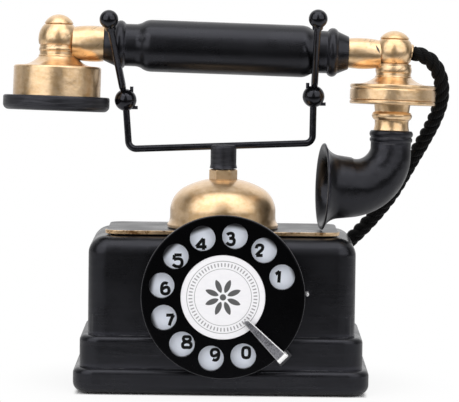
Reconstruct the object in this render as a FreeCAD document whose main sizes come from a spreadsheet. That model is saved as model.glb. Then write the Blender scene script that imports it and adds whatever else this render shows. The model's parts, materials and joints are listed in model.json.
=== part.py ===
import FreeCAD, Part
import math
import os
import re
import Sketcher
from FreeCAD import Placement, Rotation, Vector

# A desk telephone with a rotary dial, a gong on the lid and a handset lying in a tall wire cradle.
# Millimetres and degrees. The origin is the middle of the underside, +Z is up and the dial faces -Y.

# Case: three tiers with rounded edges, hollow from below.
CASE = dict(
    rim_z=0.6, base_w=151, base_d=93, base_r=11, base_top=13.2,
    mid_w=144.6, mid_d=86, mid_r=10.5, mid_top=29.6,
    box_w=136.6, box_d=78, box_r=10, box_top=80,
    wall=3, top_t=5, foot_round=5, tier_round=3, shoulder_round=9,
    boss_x=62, boss_y=33.5, boss_r=4.5, boss_top=40,
)

# Lid plate on a narrower neck, with a gilt strip round its front edge.
LID = dict(
    lid_w=118.6, lid_d=60, lid_r=7, lid_top=82.3, lid_edge=1.2, neck_inset=1.8, trim_t=0.8, trim_reach=7,
)

# Underside: felt on a steel plate that four screws hold to the bosses.
FLOOR = dict(
    felt_w=116, felt_d=58, felt_r=6, felt_t=2, plate_w=137.6, plate_d=79, plate_r=7, plate_t=1.5,
    screw_r=1.5, screw_depth=11, screw_clear=1, head_r=3, head_t=1.3,
)

# Dial: heights are measured forwards from the front of the case.
DIAL = dict(
    dial_x=0.7, dial_z=51.4, mount_boss=8, mount_boss_r=20.5, mount_r=39.5, mount_t=1.6,
    numbers_r=39.3, numbers_t=1.2, wheel_gap=1.2, wheel_r=41.5, wheel_t=3, wheel_round=1,
    hole_r=6.45, hole_pitch=31.5, hole_count=10, hole_step=30, first_hole=19.6,
    card_r=21.4, card_t=0.6, card_sink=0.8, hub_r=9, hub_t=0.8,
    shaft_r=3, pivot_r=2, bush_r=5, running=0.05, shaft_head=1,
    mount_screw_at=15, stud_at=42.6, stud_angle=1.5, stud_r=1, stud_proud=7,
)

# Finger stop: a bent steel strip that tapers towards the middle of the dial.
STOP = dict(
    stop_inner=16, stop_outer=44.2, stop_foot=39.9, stop_tip_r=1.1, stop_w=4.4, stop_t=1.1, stop_gap=1.6,
    stop_bend=1.9, stop_angle=-45, lug_w=8, lug_reach=46, stop_over=1,
    stop_screw_at=41.4, stop_screw_r=1, stop_head_r=1.5, stop_head_t=0.8,
)

# Dial works behind the front wall: gear, return spring, governor and the plate that carries them.
WORKS = dict(
    gear_teeth=48, pinion_teeth=12, gear_module=0.75,
    gear_play=0.3, addendum=0.8, dedendum=1.15, pressure_angle=20,
    gear_at=7.5, gear_t=2, pinion_t=3,
    frame_at=17.5, frame_t=1.5, frame_w=58, frame_h=38,
    frame_r=5, frame_shift=4, pillar_w=24, pillar_h=14, pillar_r=2,
    spiral_at=11, spiral_w=2.4, spiral_t=0.4, spiral_first=3.3, spiral_step=0.75, spiral_turns=7,
    spindle_r=1.5, spindle_pivot=1, cup_r=9, cup_t=1, cup_h=6,
    cup_play=0.3, arm_l=11, arm_w=4.6, arm_t=1, weight_r=2, weight_h=3,
)

# Gong, with its pillar, nut and the clapper that strikes it from inside.
GONG = dict(
    gong_r=27.3, gong_rim_r=28.75, gong_lift=0.5, gong_rim=2.1, gong_flare=5.2, gong_skirt=8.7,
    gong_shoulder=14, gong_rise=26, gong_t=1.6, seat_r=8,
    stud_bolt_r=5, bolt_foot=69, nut_across=12.6, nut_h=5.4, nut_bevel=0.6,
    lower_nut_h=5.4, lower_nut_across=15,
)

# Ringer: two coils on a bracket, and the clapper's pivot above them.
RINGER = dict(
    clapper_x=14, clapper_y=10, pivot_z=58, hammer_y=12.6,
    hammer_z=92, hammer_r=3, clapper_r=1, slot_w=5, slot_l=10,
    coil_gap=8, coil_r=5.6, coil_foot=34, coil_h=19, core_r=2.2,
    core_proud=1.5, armature_l=21, armature_w=5, armature_t=1.6,
    trunnion_r=1, bracket_w=14, bracket_t=1.5, bracket_l=30, ear_w=6, ear_t=1.4,
)

# Hook switch: the cradle's rod runs down through the gong's pillar on to a coil spring.
HOOK = dict(
    rod_r=2.55, rod_foot=36, rod_socket=121, collar_r=5.5, collar_z=55, collar_t=3,
    shelf_z=40, shelf_w=16, shelf_x=14, shelf_t=1.5, shelf_reach=15.5,
    spring_r=4, spring_wire=0.5, spring_turns=6, spring_gap=0.05,
    block_from=9, block_w=6, block_l=12, block_h=18, leaf_l=4,
    leaf_in=3, leaf_w=4, leaf_t=0.4, leaf_z=14.1, leaf_gap=3.5,
)

# Inner parts that stand on the floor plate.
INNER = dict(
    condenser_l=30, condenser_w=20, condenser_h=34, condenser_x=-42, condenser_y=8, condenser_r=3,
    core_l=40, former_r=9, winding_r=7.5, former_t=2, coil_x=-30, coil_y=27,
    strip_l=30, strip_w=10, strip_h=8, strip_x=40, strip_y=27, post_count=5, terminal_r=1.8, terminal_h=2,
)

# Cradle: a hand-bent wire on a post, so its two sides differ a little.
CRADLE = dict(
    axis_y=-4, post_r=6.7, post_flare=7.1, post_foot=113.4,
    post_top=125.6, post_round=1.2, post_cone=2, wire_r=1.75, wire_bend=4,
    left_foot_x=-49, left_foot_z=122.7, right_foot_x=46, right_foot_z=126.9,
    left_ball_x=-51, left_ball_z=148.1, right_ball_x=46.2, right_ball_z=151.1, ball_r=5.7,
    yoke_rest=6.2, yoke_half=3.6, yoke_bend=5, left_lean=-1.5, right_lean=0.4,
    left_tip_x=-59, left_tip_z=190.1, right_tip_x=47.2,
    right_tip_z=191.7, left_spread=25, right_spread=29.6, prong_out=1.9, prong_drop=0.95,
    tip_r=4.8, tip_neck_r=2.7, tip_neck=6.2, pin_r=0.9,
    pin_in=3.1, pin_top=7, spur_drop=3.9, spur_reach=6.35,
)

# Handset: heights and lengths are measured from the middle of the handle's axis.
HANDLE = dict(
    handset_x=0.8, handset_z=175.3, handset_tilt=1.4, handset_roll=-3, arm_x=86.8,
    handle_half=63.2, handle_bore=3, tenon_r=5.5, tenon_l=6, end_r=8.4, neck_r=10.9,
    ring_at=54.8, ring_half=2.6, ring_round=2.85, waist_at=47.2,
    cove=8, grip_half=40.6, grip_r=13.4, grip_round=8.5,
    grip_rise=1, grip_run=4,
)

# Receiver end: collar, ball, dome, drum and ear cap.
RECEIVER = dict(
    ear_collar_r=9.35, ear_collar_from=7.6, ear_ball_r=10.4, ear_ball_z=2, ear_ball_top=9.2, ear_groove=-1.1,
    arm_groove=0.3, groove_in=0.5, groove_low=0.8, barrel_near=1, barrel_far=0.4, barrel_bulge=55,
    ear_band_r=9.5, ear_band_foot=-6.9, arm_tenon_r=5, arm_tenon=3,
    ear_dome_r=7.5, ear_dome_top=14.5, dome_lip=0.7,
    drum_top=-12.1, drum_r=22.6, drum_foot=-27.7, drum_t=2, drum_cove=13, drum_round=1.2,
    cap_r=27.5, cap_foot=-35.3, cap_t=2.6, cap_round=3, cap_dish=4.6, cap_edge=1,
    cap_fall=1, cap_collar=4, cap_collar_t=2, ear_hole_r=1.6, ear_hole_at=7, ear_hole_count=6,
    magnet_r=13, magnet_t=5, pole_l=8, pole_w=4, pole_t=3.5,
    pole_at=3.5, diaphragm_t=0.3, diaphragm_play=0.2,
)

# Transmitter end: ball, dome, flanged case, ringed neck and the elbow horn.
TRANSMITTER = dict(
    tx_collar_r=8, tx_collar_from=7, tx_ball_r=9.8, tx_ball_z=1.5, tx_ball_top=7.7, tx_groove=-4.2,
    tx_band_r=9, tx_band_foot=-11.5, tx_dome_r=7.6, tx_dome_top=12.3,
    case_top=-15.6, case_r=22.1, case_split=-23.6, case_foot=-25.9, case_groove=-17.8,
    groove_t=0.6, case_t=2.2, case_cove=16, case_edge=0.8, case_edge_z=0.5, case_edge_r=0.9,
    neck_foot=-39.3, neck_top_r=9.3, neck_ring_z=-31.6, neck_ring_r=10.4, neck_low_r=8.8, neck_bore=5,
    neck_cove=12, ring_low=2.4, ring_low_r=3, ring_up=2, ring_in=0.4, cover_step=0.6,
    capsule_r=18, capsule_t=5,
    collar_foot=-46.3, collar_bead=3.4, bead_r=2.15,
    collar_ring=2.6, collar_ring_r=1.6, collar_foot_r=5, horn_bore=8.4,
)

HORN = dict(
    horn_r=10.4, horn_run=2.4, horn_bend=20.6, horn_mid_r=15.6, horn_t=1.5,
    horn_neck=27.3, horn_neck_r=16.4, horn_mouth=35.3, horn_mouth_r=22.4,
    horn_lip=1.6, horn_flare=9.5, horn_swing=7,
)

# Twisted cord from the handset to the back of the case, with the sleeve at each end.
CORD = dict(
    cord_r=3.7, cord_lead=6.5, cord_gap=0.3, gland_from=5.5, gland_end=9.6,
    gland_taper=1.2, gland_lip=0.2, gland_r=4.3, gland_dip=10, gland_z=3,
    grommet_x=44, grommet_z=51, grommet_r=5.4, grommet_end=4.5, grommet_flange=7, grommet_t=1.5,
    inlet_x=-40, inlet_z=20.5, inlet_r=5, inlet_flange=6.6,
    inlet_bore=3, sleeve_edge=0.5, sleeve_root=1.6, sleeve_tip=0.9,
)

# The cord's route between its two sleeves, chosen by hand: right, round and down behind the case.
CORD_ROUTE = [
    (109.2, -3, 167.8), (112.6, 0, 160), (113.4, 6, 150), (110.2, 13, 138.8), (104.8, 22, 127),
    (97.6, 31.8, 112.8), (90.2, 40.6, 98), (80.5, 48.3, 84.5), (70.5, 54.5, 73.2),
    (61, 61.5, 64.5), (52, 63.5, 57), (45.8, 58.5, 52.4), (44, 50.5, 51),
]

# Share of the shorter neighbouring run that a bend of the cord takes up.
BEND_SHARE = 0.45

GROUPS = [
    CASE, LID, FLOOR, DIAL, STOP, WORKS, GONG, RINGER, HOOK, INNER,
    CRADLE, HANDLE, RECEIVER, TRANSMITTER, HORN, CORD,
]

ACROSS = Vector(1, 0, 0)
BACK = Vector(0, 1, 0)
FRONT = Vector(0, -1, 0)
UP = Vector(0, 0, 1)

doc = FreeCAD.newDocument("Telephone")
sheet = doc.addObject("Spreadsheet::Sheet", "Dims")
sizes = {}
nodes = {}


# Driving dimensions


def fill_sheet():
    row = 1
    for group in GROUPS:
        for alias, number in group.items():
            sheet.set(f"A{row}", alias)
            sheet.set(f"B{row}", str(number))
            sheet.setAlias(f"B{row}", alias)
            sizes[alias] = number
            row += 1
    doc.recompute()


def cells(formula):
    """Write a formula of sheet names as references to the sheet."""
    return re.sub(r"[a-z]\w*", lambda word: "Dims." + word[0] if word[0] in sizes else word[0], formula)


def value(formula):
    return float(sheet.evalExpression(cells(formula)))


def point(x, y, z):
    return Vector(value(x), value(y), value(z))


def bind(thing, **formulas):
    for name, formula in formulas.items():
        thing.setExpression(name, cells(formula))


def seat(thing, at, along=UP):
    """Place a thing at bound coordinates, with its own Z axis turned to another direction."""
    thing.Placement = Placement(Vector(), Rotation(UP, along))
    for letter, formula in zip("xyz", at):
        thing.setExpression("Placement.Base." + letter, cells(formula))


def keep(thing, label):
    thing.Label = label
    nodes[label] = thing
    return thing


# Bodies, sketches and features


def new_body(name):
    return doc.addObject("PartDesign::Body", name)


def new_sketch(body, plane, lift="0", shift="0", slide="0", rotation=Rotation()):
    """Attach a sketch to one of the body's origin planes, lifted off it, moved in it or turned."""
    sketch = body.newObject("Sketcher::SketchObject", "Sketch")
    support = [feature for feature in body.Origin.OriginFeatures if feature.Role == plane]
    sketch.AttachmentSupport = [(support[0], "")]
    sketch.MapMode = "FlatFace"
    sketch.AttachmentOffset = Placement(Vector(), rotation)
    for letter, formula in zip("xyz", (slide, shift, lift)):
        sketch.setExpression("AttachmentOffset.Base." + letter, cells(formula))
    return sketch


def arc_between(start, end, radius):
    """Minor arc from start to end that turns left where the radius is positive, else right."""
    chord = end - start
    left = Vector(-chord.y, chord.x, 0).normalize()
    rise = math.sqrt(max(radius ** 2 - (chord.Length / 2) ** 2, 0))
    centre = (start + end) * 0.5 + left * math.copysign(rise, radius)
    first, last = (start, end) if radius > 0 else (end, start)
    angles = [math.atan2(spot.y - centre.y, spot.x - centre.x) for spot in (first, last)]
    return Part.ArcOfCircle(Part.Circle(centre, UP, abs(radius)), *angles)


def pin(sketch, side, end, across, up):
    """Hold one end of a side at bound coordinates, or on the axis where a coordinate is nought."""
    for formula, kind, axis in ((across, "DistanceX", -2), (up, "DistanceY", -1)):
        if formula == "0":
            sketch.addConstraint(Sketcher.Constraint("PointOnObject", side, end, axis))
        else:
            number = sketch.addConstraint(Sketcher.Constraint(kind, -1, 1, side, end, value(formula)))
            sketch.setExpression(f"Constraints[{number}]", cells(formula))


def outline(sketch, corners):
    """Draw a closed outline of (across, up) corners. A third entry makes the side that ends there an arc."""
    spots = [Vector(value(corner[0]), value(corner[1]), 0) for corner in corners]
    ends = []
    for side, corner in enumerate(corners):
        start, end = spots[side - 1], spots[side]
        if len(corner) == 2:
            sketch.addGeometry(Part.LineSegment(start, end))
            ends.append((1, 2))
        else:
            radius = value(corner[2])
            sketch.addGeometry(arc_between(start, end, radius))
            ends.append((1, 2) if radius > 0 else (2, 1))
    for side, corner in enumerate(corners):
        following = (side + 1) % len(corners)
        joined = (side, ends[side][1], following, ends[following][0])
        sketch.addConstraint(Sketcher.Constraint("Coincident", *joined))
        pin(sketch, side, ends[side][1], corner[0], corner[1])
        if len(corner) == 3:
            number = sketch.addConstraint(Sketcher.Constraint("Radius", side, abs(value(corner[2]))))
            sketch.setExpression(f"Constraints[{number}]", cells(f"abs({corner[2]})"))
    return sketch


def circle(sketch, radius, across="0", up="0"):
    sketch.addGeometry(Part.Circle(Vector(value(across), value(up), 0), UP, value(radius)))
    pin(sketch, 0, 3, across, up)
    number = sketch.addConstraint(Sketcher.Constraint("Radius", 0, value(radius)))
    sketch.setExpression(f"Constraints[{number}]", cells(radius))
    return sketch


def rounded(width, depth, corner):
    """Corners of a rectangle with rounded corners, about the middle."""
    half_w, half_d = f"({width}) / 2", f"({depth}) / 2"
    return [
        (f"{half_w} - ({corner})", f"-{half_d}"), (half_w, f"-{half_d} + ({corner})", corner),
        (half_w, f"{half_d} - ({corner})"), (f"{half_w} - ({corner})", half_d, corner),
        (f"-{half_w} + ({corner})", half_d), (f"-{half_w}", f"{half_d} - ({corner})", corner),
        (f"-{half_w}", f"-{half_d} + ({corner})"), (f"-{half_w} + ({corner})", f"-{half_d}", corner),
    ]


def pad(body, sketch, length, midplane=False):
    feature = body.newObject("PartDesign::Pad", "Pad")
    feature.Profile = sketch
    feature.SideType = "Symmetric" if midplane else "One side"
    bind(feature, Length=length)
    return feature


def pocket(body, sketch, depth):
    """Cut along the sketch's own normal."""
    feature = body.newObject("PartDesign::Pocket", "Pocket")
    feature.Profile = sketch
    feature.Reversed = True
    bind(feature, Length=depth)
    return feature


def revolve(body, sketch, axis="V_Axis", kind="Revolution"):
    feature = body.newObject("PartDesign::" + kind, kind)
    feature.Profile = sketch
    feature.ReferenceAxis = (sketch, [axis])
    feature.Angle = 360
    return feature


def ring_pattern(body, feature, sketch, count, angle):
    pattern = body.newObject("PartDesign::PolarPattern", "Pattern")
    pattern.Originals = [feature]
    pattern.Axis = (sketch, ["N_Axis"])
    bind(pattern, Occurrences=count, Angle=angle)
    body.Tip = pattern
    return pattern


def primitive(body, kind, at, along=UP, **formulas):
    """Add or take away a box, cylinder or sphere."""
    feature = body.newObject("PartDesign::" + kind, kind)
    seat(feature, at, along)
    bind(feature, **formulas)
    return feature


def bore(body, radius, depth, at, along=UP):
    return primitive(body, "SubtractiveCylinder", at, along, Radius=radius, Height=depth)


def boss(body, radius, height, at, along=UP):
    return primitive(body, "AdditiveCylinder", at, along, Radius=radius, Height=height)


def level_edges(shape, height):
    """Names of the edges that lie at one height."""
    found = []
    for number, edge in enumerate(shape.Edges, 1):
        levels = [spot.Z for spot in edge.Vertexes] + [edge.CenterOfMass.z]
        if all(abs(level - height) < 1e-4 for level in levels):
            found.append(f"Edge{number}")
    return found


def ease(body, height, radius, kind="Fillet"):
    """Round or bevel every edge at one height."""
    doc.recompute()
    base = body.Tip
    feature = body.newObject("PartDesign::" + kind, kind)
    feature.Base = (base, level_edges(base.Shape, value(height)))
    bind(feature, **{"Radius" if kind == "Fillet" else "Size": radius})
    return feature


def turned(label, corners):
    """A body turned on its Z axis from an outline of (radius, height) corners."""
    body = new_body(label)
    revolve(body, outline(new_sketch(body, "XZ_Plane"), corners))
    return keep(body, label)


def plate(label, width, depth, corner, foot, thickness):
    body = new_body(label)
    pad(body, outline(new_sketch(body, "XY_Plane", foot), rounded(width, depth, corner)), thickness)
    return keep(body, label)


def hexagon(across_flats):
    reach = f"({across_flats}) / sqrt(3)"
    return [(f"{reach} * cos({60 * k})", f"{reach} * sin({60 * k})") for k in range(6)]


def nut(label, across_flats, bolt_r, height, bevel):
    body = new_body(label)
    pad(body, outline(new_sketch(body, "XY_Plane"), hexagon(across_flats)), height)
    bore(body, bolt_r, height, ("0", "0", "0"))
    if bevel:
        ease(body, height, bevel, "Chamfer")
    return keep(body, label)


# Solids that no sketch or primitive describes


def feature_of(label, shape):
    thing = doc.addObject("Part::Feature", label)
    thing.Shape = shape
    return keep(thing, label)


def cut_away(label, base, tools):
    """Cut several tools from a base, one after the other."""
    for tool in tools:
        cut = doc.addObject("Part::Cut", label)
        cut.Base = base
        cut.Tool = tool
        base = cut
    return base


def group(label, members):
    thing = doc.addObject("Part::Compound", label)
    thing.Links = members
    return keep(thing, label)


def bent_path(points, radius_at):
    """Straight runs joined by tangent arcs, with a radius chosen for each inner point."""
    edges = []
    start = points[0]
    for before, corner, after in zip(points, points[1:], points[2:]):
        inward = (before - corner).normalize()
        outward = (after - corner).normalize()
        half = inward.getAngle(outward) / 2
        radius = radius_at(min((before - corner).Length, (after - corner).Length), math.pi - 2 * half)
        reach = radius / math.tan(half)
        first = corner + inward * reach
        last = corner + outward * reach
        middle = corner + (inward + outward).normalize() * (radius / math.sin(half) - radius)
        edges.append(Part.LineSegment(start, first).toShape())
        edges.append(Part.Arc(first, middle, last).toShape())
        start = last
    edges.append(Part.LineSegment(start, points[-1]).toShape())
    return Part.Wire(edges)


def tube_along(path, radius):
    start = path.Edges[0]
    heading = start.tangentAt(start.FirstParameter)
    section = Part.Wire([Part.makeCircle(radius, start.valueAt(start.FirstParameter), heading)])
    return path.makePipeShell([section], True, False)


# Case


def tier(body, width, depth, corner, foot, top, rounding):
    sketch = outline(new_sketch(body, "XY_Plane", foot), rounded(width, depth, corner))
    pad(body, sketch, f"{top} - ({foot})")
    ease(body, top, rounding)


def hollow(body, width, depth, corner, foot, top):
    sketch = outline(new_sketch(body, "XY_Plane", foot), rounded(width, depth, corner))
    pocket(body, sketch, f"{top} - ({foot})")


BOSS_SPOTS = [(f"{side} * boss_x", f"{end} * boss_y") for side in (-1, 1) for end in (-1, 1)]
PLATE_TOP = "felt_t + plate_t"
MOUNT_SCREW_ANGLES = (90, 210, 330)
PLATFORM_SLOT = ("clapper_x - slot_w / 2", "clapper_y - slot_l / 2")


def dial_spot(radius, angle):
    """Place on the front of the case, by radius and angle about the dial."""
    return f"dial_x + {radius} * cos({angle})", f"dial_z + {radius} * sin({angle})"


def make_housing():
    housing = new_body("housing")
    tier(housing, "base_w", "base_d", "base_r", "rim_z", "base_top", "tier_round")
    ease(housing, "rim_z", "foot_round")
    tier(housing, "mid_w", "mid_d", "mid_r", "base_top", "mid_top", "tier_round")
    tier(housing, "box_w", "box_d", "box_r", "mid_top", "box_top", "shoulder_round")
    hollow(housing, "mid_w - 2 * wall", "mid_d - 2 * wall", "mid_r - wall", "rim_z", "mid_top - wall")
    step, ceiling = "mid_top - wall", "box_top - top_t"
    hollow(housing, "box_w - 2 * wall", "box_d - 2 * wall", "box_r - wall", step, ceiling)
    for x, y in BOSS_SPOTS:
        boss(housing, "boss_r", f"boss_top - ({PLATE_TOP})", (x, y, PLATE_TOP))
    for x, y in BOSS_SPOTS:
        bore(housing, "screw_r", "screw_depth", (x, y, PLATE_TOP))
    bore(housing, "stud_bolt_r", "2 * wall", ("0", "axis_y", "box_top - 2 * wall"))
    slot_x, slot_y = PLATFORM_SLOT
    primitive(
        housing, "SubtractiveBox", (slot_x, slot_y, "box_top - 2 * wall"), UP,
        Length="slot_w", Width="slot_l", Height="3 * wall",
    )
    bore(housing, "bush_r", "2 * wall", ("dial_x", "-box_d / 2 + 1.5 * wall", "dial_z"), FRONT)
    for angle in MOUNT_SCREW_ANGLES:
        x, z = dial_spot("mount_screw_at", angle)
        bore(housing, "screw_r", "2 * wall", (x, "-box_d / 2 + 1.5 * wall", z), FRONT)
    x, z = dial_spot("stud_at", "stud_angle")
    bore(housing, "stud_r", "wall / 2", (x, "-box_d / 2 + wall / 2", z), FRONT)
    bore(housing, "spindle_pivot + running", "wall / 2", (GOVERNOR_X, "-box_d / 2 + wall", "dial_z"), FRONT)
    bore(housing, "grommet_r", "2 * wall", ("grommet_x", "box_d / 2 - 1.5 * wall", "grommet_z"), BACK)
    bore(housing, "inlet_r", "2 * wall", ("inlet_x", "mid_d / 2 - 1.5 * wall", "inlet_z"), BACK)
    keep(housing, "housing")


def make_lid():
    lid = new_body("lid")
    neck_w, neck_d, neck_r = "lid_w - 2 * neck_inset", "lid_d - 2 * neck_inset", "lid_r - neck_inset"
    edge_foot = "lid_top - lid_edge"
    neck = outline(new_sketch(lid, "XY_Plane", "box_top"), rounded(neck_w, neck_d, neck_r))
    pad(lid, neck, f"{edge_foot} - box_top")
    pad(lid, outline(new_sketch(lid, "XY_Plane", edge_foot), rounded("lid_w", "lid_d", "lid_r")), "lid_edge")
    bore(lid, "stud_bolt_r", "2 * wall", ("0", "axis_y", "box_top - wall / 2"))
    slot_x, slot_y = PLATFORM_SLOT
    primitive(
        lid, "SubtractiveBox", (slot_x, slot_y, "box_top - wall / 2"), UP,
        Length="slot_w", Width="slot_l", Height="2 * wall",
    )
    keep(lid, "lid")

    trim = new_body("lid_trim")
    wide, deep = "lid_w + 2 * trim_t", "lid_d + 2 * trim_t"
    outside = outline(new_sketch(trim, "XY_Plane", edge_foot), rounded(wide, deep, "lid_r + trim_t"))
    pad(trim, outside, "lid_edge")
    inside = outline(new_sketch(trim, "XY_Plane", edge_foot), rounded("lid_w", "lid_d", "lid_r"))
    pocket(trim, inside, "lid_edge")
    primitive(
        trim, "SubtractiveBox", ("-lid_w", "-lid_d / 2 + trim_reach", "box_top"), UP,
        Length="2 * lid_w", Width="2 * lid_d", Height="lid_top",
    )
    keep(trim, "lid_trim")


def make_floor():
    plate("base_felt", "felt_w", "felt_d", "felt_r", "0", "felt_t")
    floor_plate = plate("base_plate", "plate_w", "plate_d", "plate_r", "felt_t", "plate_t")
    screws = []
    for x, y in BOSS_SPOTS:
        bore(floor_plate, "screw_r", "plate_t", (x, y, "felt_t"))
        screw = new_body("base_screw")
        boss(screw, "head_r", "head_t", ("0", "0", "0"))
        boss(screw, "screw_r", "plate_t + screw_depth - screw_clear", ("0", "0", "head_t"))
        seat(screw, (x, y, "felt_t - head_t"))
        screws.append(screw)
    group("base_screws", screws)


# Dial


LUG_FRONT = "mount_boss + mount_t"
NUMBERS_FRONT = LUG_FRONT + " + numbers_t"
WHEEL_BACK = NUMBERS_FRONT + " + wheel_gap"
WHEEL_FRONT = WHEEL_BACK + " + wheel_t"
DIAL_SPOT = ("dial_x", "-box_d / 2", "dial_z")
GEAR_R = "gear_module * gear_teeth / 2"
PINION_R = "gear_module * pinion_teeth / 2"
GOVERNOR_X = f"dial_x - {GEAR_R} - {PINION_R}"


def make_dial_mount():
    mount = turned("dial_mount", [
        ("bush_r", "0"), ("mount_boss_r", "0"), ("mount_boss_r", "mount_boss"), ("mount_r", "mount_boss"),
        ("mount_r", LUG_FRONT), ("bush_r", LUG_FRONT),
    ])
    lug = new_sketch(mount, "XY_Plane", "mount_boss", rotation=Rotation(UP, value("stop_angle")))
    corners = [
        ("mount_r - lug_w", "-lug_w / 2"), ("lug_reach", "-lug_w / 2"),
        ("lug_reach", "lug_w / 2"), ("mount_r - lug_w", "lug_w / 2"),
    ]
    pad(mount, outline(lug, corners), "mount_t")
    for angle in MOUNT_SCREW_ANGLES:
        spot = (f"mount_screw_at * cos({angle})", f"mount_screw_at * sin({angle})", "0")
        bore(mount, "screw_r", "mount_boss - mount_t", spot)
    spot = ("stop_screw_at * cos(stop_angle)", "stop_screw_at * sin(stop_angle)", "mount_boss")
    bore(mount, "stop_screw_r", "mount_t", spot)
    seat(mount, DIAL_SPOT, FRONT)

    numbers = turned("number_plate", [
        ("bush_r", LUG_FRONT), ("numbers_r", LUG_FRONT),
        ("numbers_r", NUMBERS_FRONT), ("bush_r", NUMBERS_FRONT),
    ])
    seat(numbers, DIAL_SPOT, FRONT)

    bush = turned("dial_bush", [
        ("shaft_r + running", "-wall - 1"), ("bush_r", "-wall - 1"),
        ("bush_r", NUMBERS_FRONT), ("shaft_r + running", NUMBERS_FRONT),
    ])
    seat(bush, DIAL_SPOT, FRONT)

    stud = new_body("index_stud")
    boss(stud, "stud_r", "wall / 2 + stud_proud", ("0", "0", "-wall / 2"))
    ease(stud, "stud_proud", "stud_r / 2")
    x, z = dial_spot("stud_at", "stud_angle")
    seat(stud, (x, "-box_d / 2", z), FRONT)
    keep(stud, "index_stud")


def make_dial_screws():
    """Three screws hold the mount from inside the case, and one holds the finger stop."""
    screws = []
    for angle in MOUNT_SCREW_ANGLES:
        screw = new_body("mount_screw")
        boss(screw, "head_r", "head_t", ("0", "0", "-wall - head_t"))
        boss(screw, "screw_r", "wall + mount_boss - mount_t - screw_clear", ("0", "0", "-wall"))
        x, z = dial_spot("mount_screw_at", angle)
        seat(screw, (x, "-box_d / 2", z), FRONT)
        screws.append(screw)
    screw = new_body("stop_screw")
    boss(screw, "stop_screw_r", "mount_t + stop_t", ("0", "0", "mount_boss"))
    boss(screw, "stop_head_r", "stop_head_t", ("0", "0", LUG_FRONT + " + stop_t"))
    x, z = dial_spot("stop_screw_at", "stop_angle")
    seat(screw, (x, "-box_d / 2", z), FRONT)
    screws.append(screw)
    group("dial_screws", screws)


def make_finger_stop():
    top = WHEEL_FRONT + " + stop_gap + stop_t"
    inner_bend = "(stop_bend - stop_t)"
    side = new_body("stop_side")
    profile = [
        ("stop_foot", LUG_FRONT), ("stop_outer", LUG_FRONT), ("stop_outer", f"{top} - stop_bend"),
        ("stop_outer - stop_bend", top, "stop_bend"),
        ("stop_inner", top), ("stop_inner", f"{top} - stop_t"),
        ("stop_outer - stop_bend", f"{top} - stop_t"),
        ("stop_outer - stop_t", f"{top} - stop_bend", f"-{inner_bend}"),
        ("stop_outer - stop_t", f"{LUG_FRONT} + stop_t"), ("stop_foot", f"{LUG_FRONT} + stop_t"),
    ]
    pad(side, outline(new_sketch(side, "XZ_Plane"), profile), "2 * stop_w", midplane=True)
    face = new_body("stop_face")
    taper = [
        ("stop_inner + stop_tip_r", "-stop_tip_r", "stop_tip_r"), ("stop_outer + stop_over", "-stop_w / 2"),
        ("stop_outer + stop_over", "stop_w / 2"),
        ("stop_inner + stop_tip_r", "stop_tip_r"), ("stop_inner", "0", "stop_tip_r"),
    ]
    pad(face, outline(new_sketch(face, "XY_Plane"), taper), f"{top} + stop_over")
    bore(face, "stop_screw_r", LUG_FRONT + " + 2 * stop_t", ("stop_screw_at", "0", "0"))
    strip = doc.addObject("Part::Common", "finger_stop")
    strip.Base = side
    strip.Tool = face
    front = Placement(point(*DIAL_SPOT), Rotation(UP, FRONT))
    strip.Placement = front * Placement(Vector(), Rotation(UP, value("stop_angle")))
    keep(strip, "finger_stop")


def make_finger_wheel():
    wheel = turned("finger_wheel", [
        ("shaft_r", f"{WHEEL_BACK} - hub_t"), ("hub_r", f"{WHEEL_BACK} - hub_t"), ("hub_r", WHEEL_BACK),
        ("wheel_r", WHEEL_BACK), ("wheel_r", f"{WHEEL_FRONT} - wheel_round"),
        ("wheel_r - wheel_round", WHEEL_FRONT, "wheel_round"), ("card_r", WHEEL_FRONT),
        ("card_r", f"{WHEEL_FRONT} - card_sink"), ("shaft_r", f"{WHEEL_FRONT} - card_sink"),
    ])
    sketch = new_sketch(wheel, "XY_Plane", WHEEL_BACK)
    circle(sketch, "hole_r", "hole_pitch * cos(first_hole)", "hole_pitch * sin(first_hole)")
    hole = pocket(wheel, sketch, "wheel_t")
    ring_pattern(wheel, hole, sketch, "hole_count", "(hole_count - 1) * hole_step")
    seat(wheel, DIAL_SPOT, FRONT)

    card_back = f"{WHEEL_FRONT} - card_sink"
    card = new_body("centre_card")
    boss(card, "card_r", "card_t", ("0", "0", card_back))
    seat(card, DIAL_SPOT, FRONT)
    keep(card, "centre_card")

    rear = "-frame_at - frame_t - shaft_head"
    shaft = turned("dial_shaft", [
        ("0", rear), ("pivot_r", rear),
        ("pivot_r", "-frame_at + running"), ("shaft_r", "-frame_at + running"),
        ("shaft_r", card_back), ("0", card_back),
    ])
    seat(shaft, DIAL_SPOT, FRONT)


def add_teeth(body, pitch_r, teeth, foot, thickness, turn=0):
    """Straight-sided teeth round a root cylinder, thinned for play."""
    root, tip = f"({pitch_r} - dedendum * gear_module)", f"({pitch_r} + addendum * gear_module)"
    half = "(pi * gear_module / 4 - gear_play / 2)"
    slope = "tan(pressure_angle)"
    root_half = f"{half} + dedendum * gear_module * {slope}"
    tip_half = f"{half} - addendum * gear_module * {slope}"
    boss(body, root, thickness, ("0", "0", foot))
    sketch = new_sketch(body, "XY_Plane", foot, rotation=Rotation(UP, turn))
    inner = f"{root} - gear_module / 4"
    tooth = pad(body, outline(sketch, [
        (inner, f"-({root_half})"), (root, f"-({root_half})"), (tip, f"-({tip_half})"),
        (tip, tip_half), (root, root_half), (inner, root_half),
    ]), thickness)
    ring_pattern(body, tooth, sketch, teeth, "360")


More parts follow.
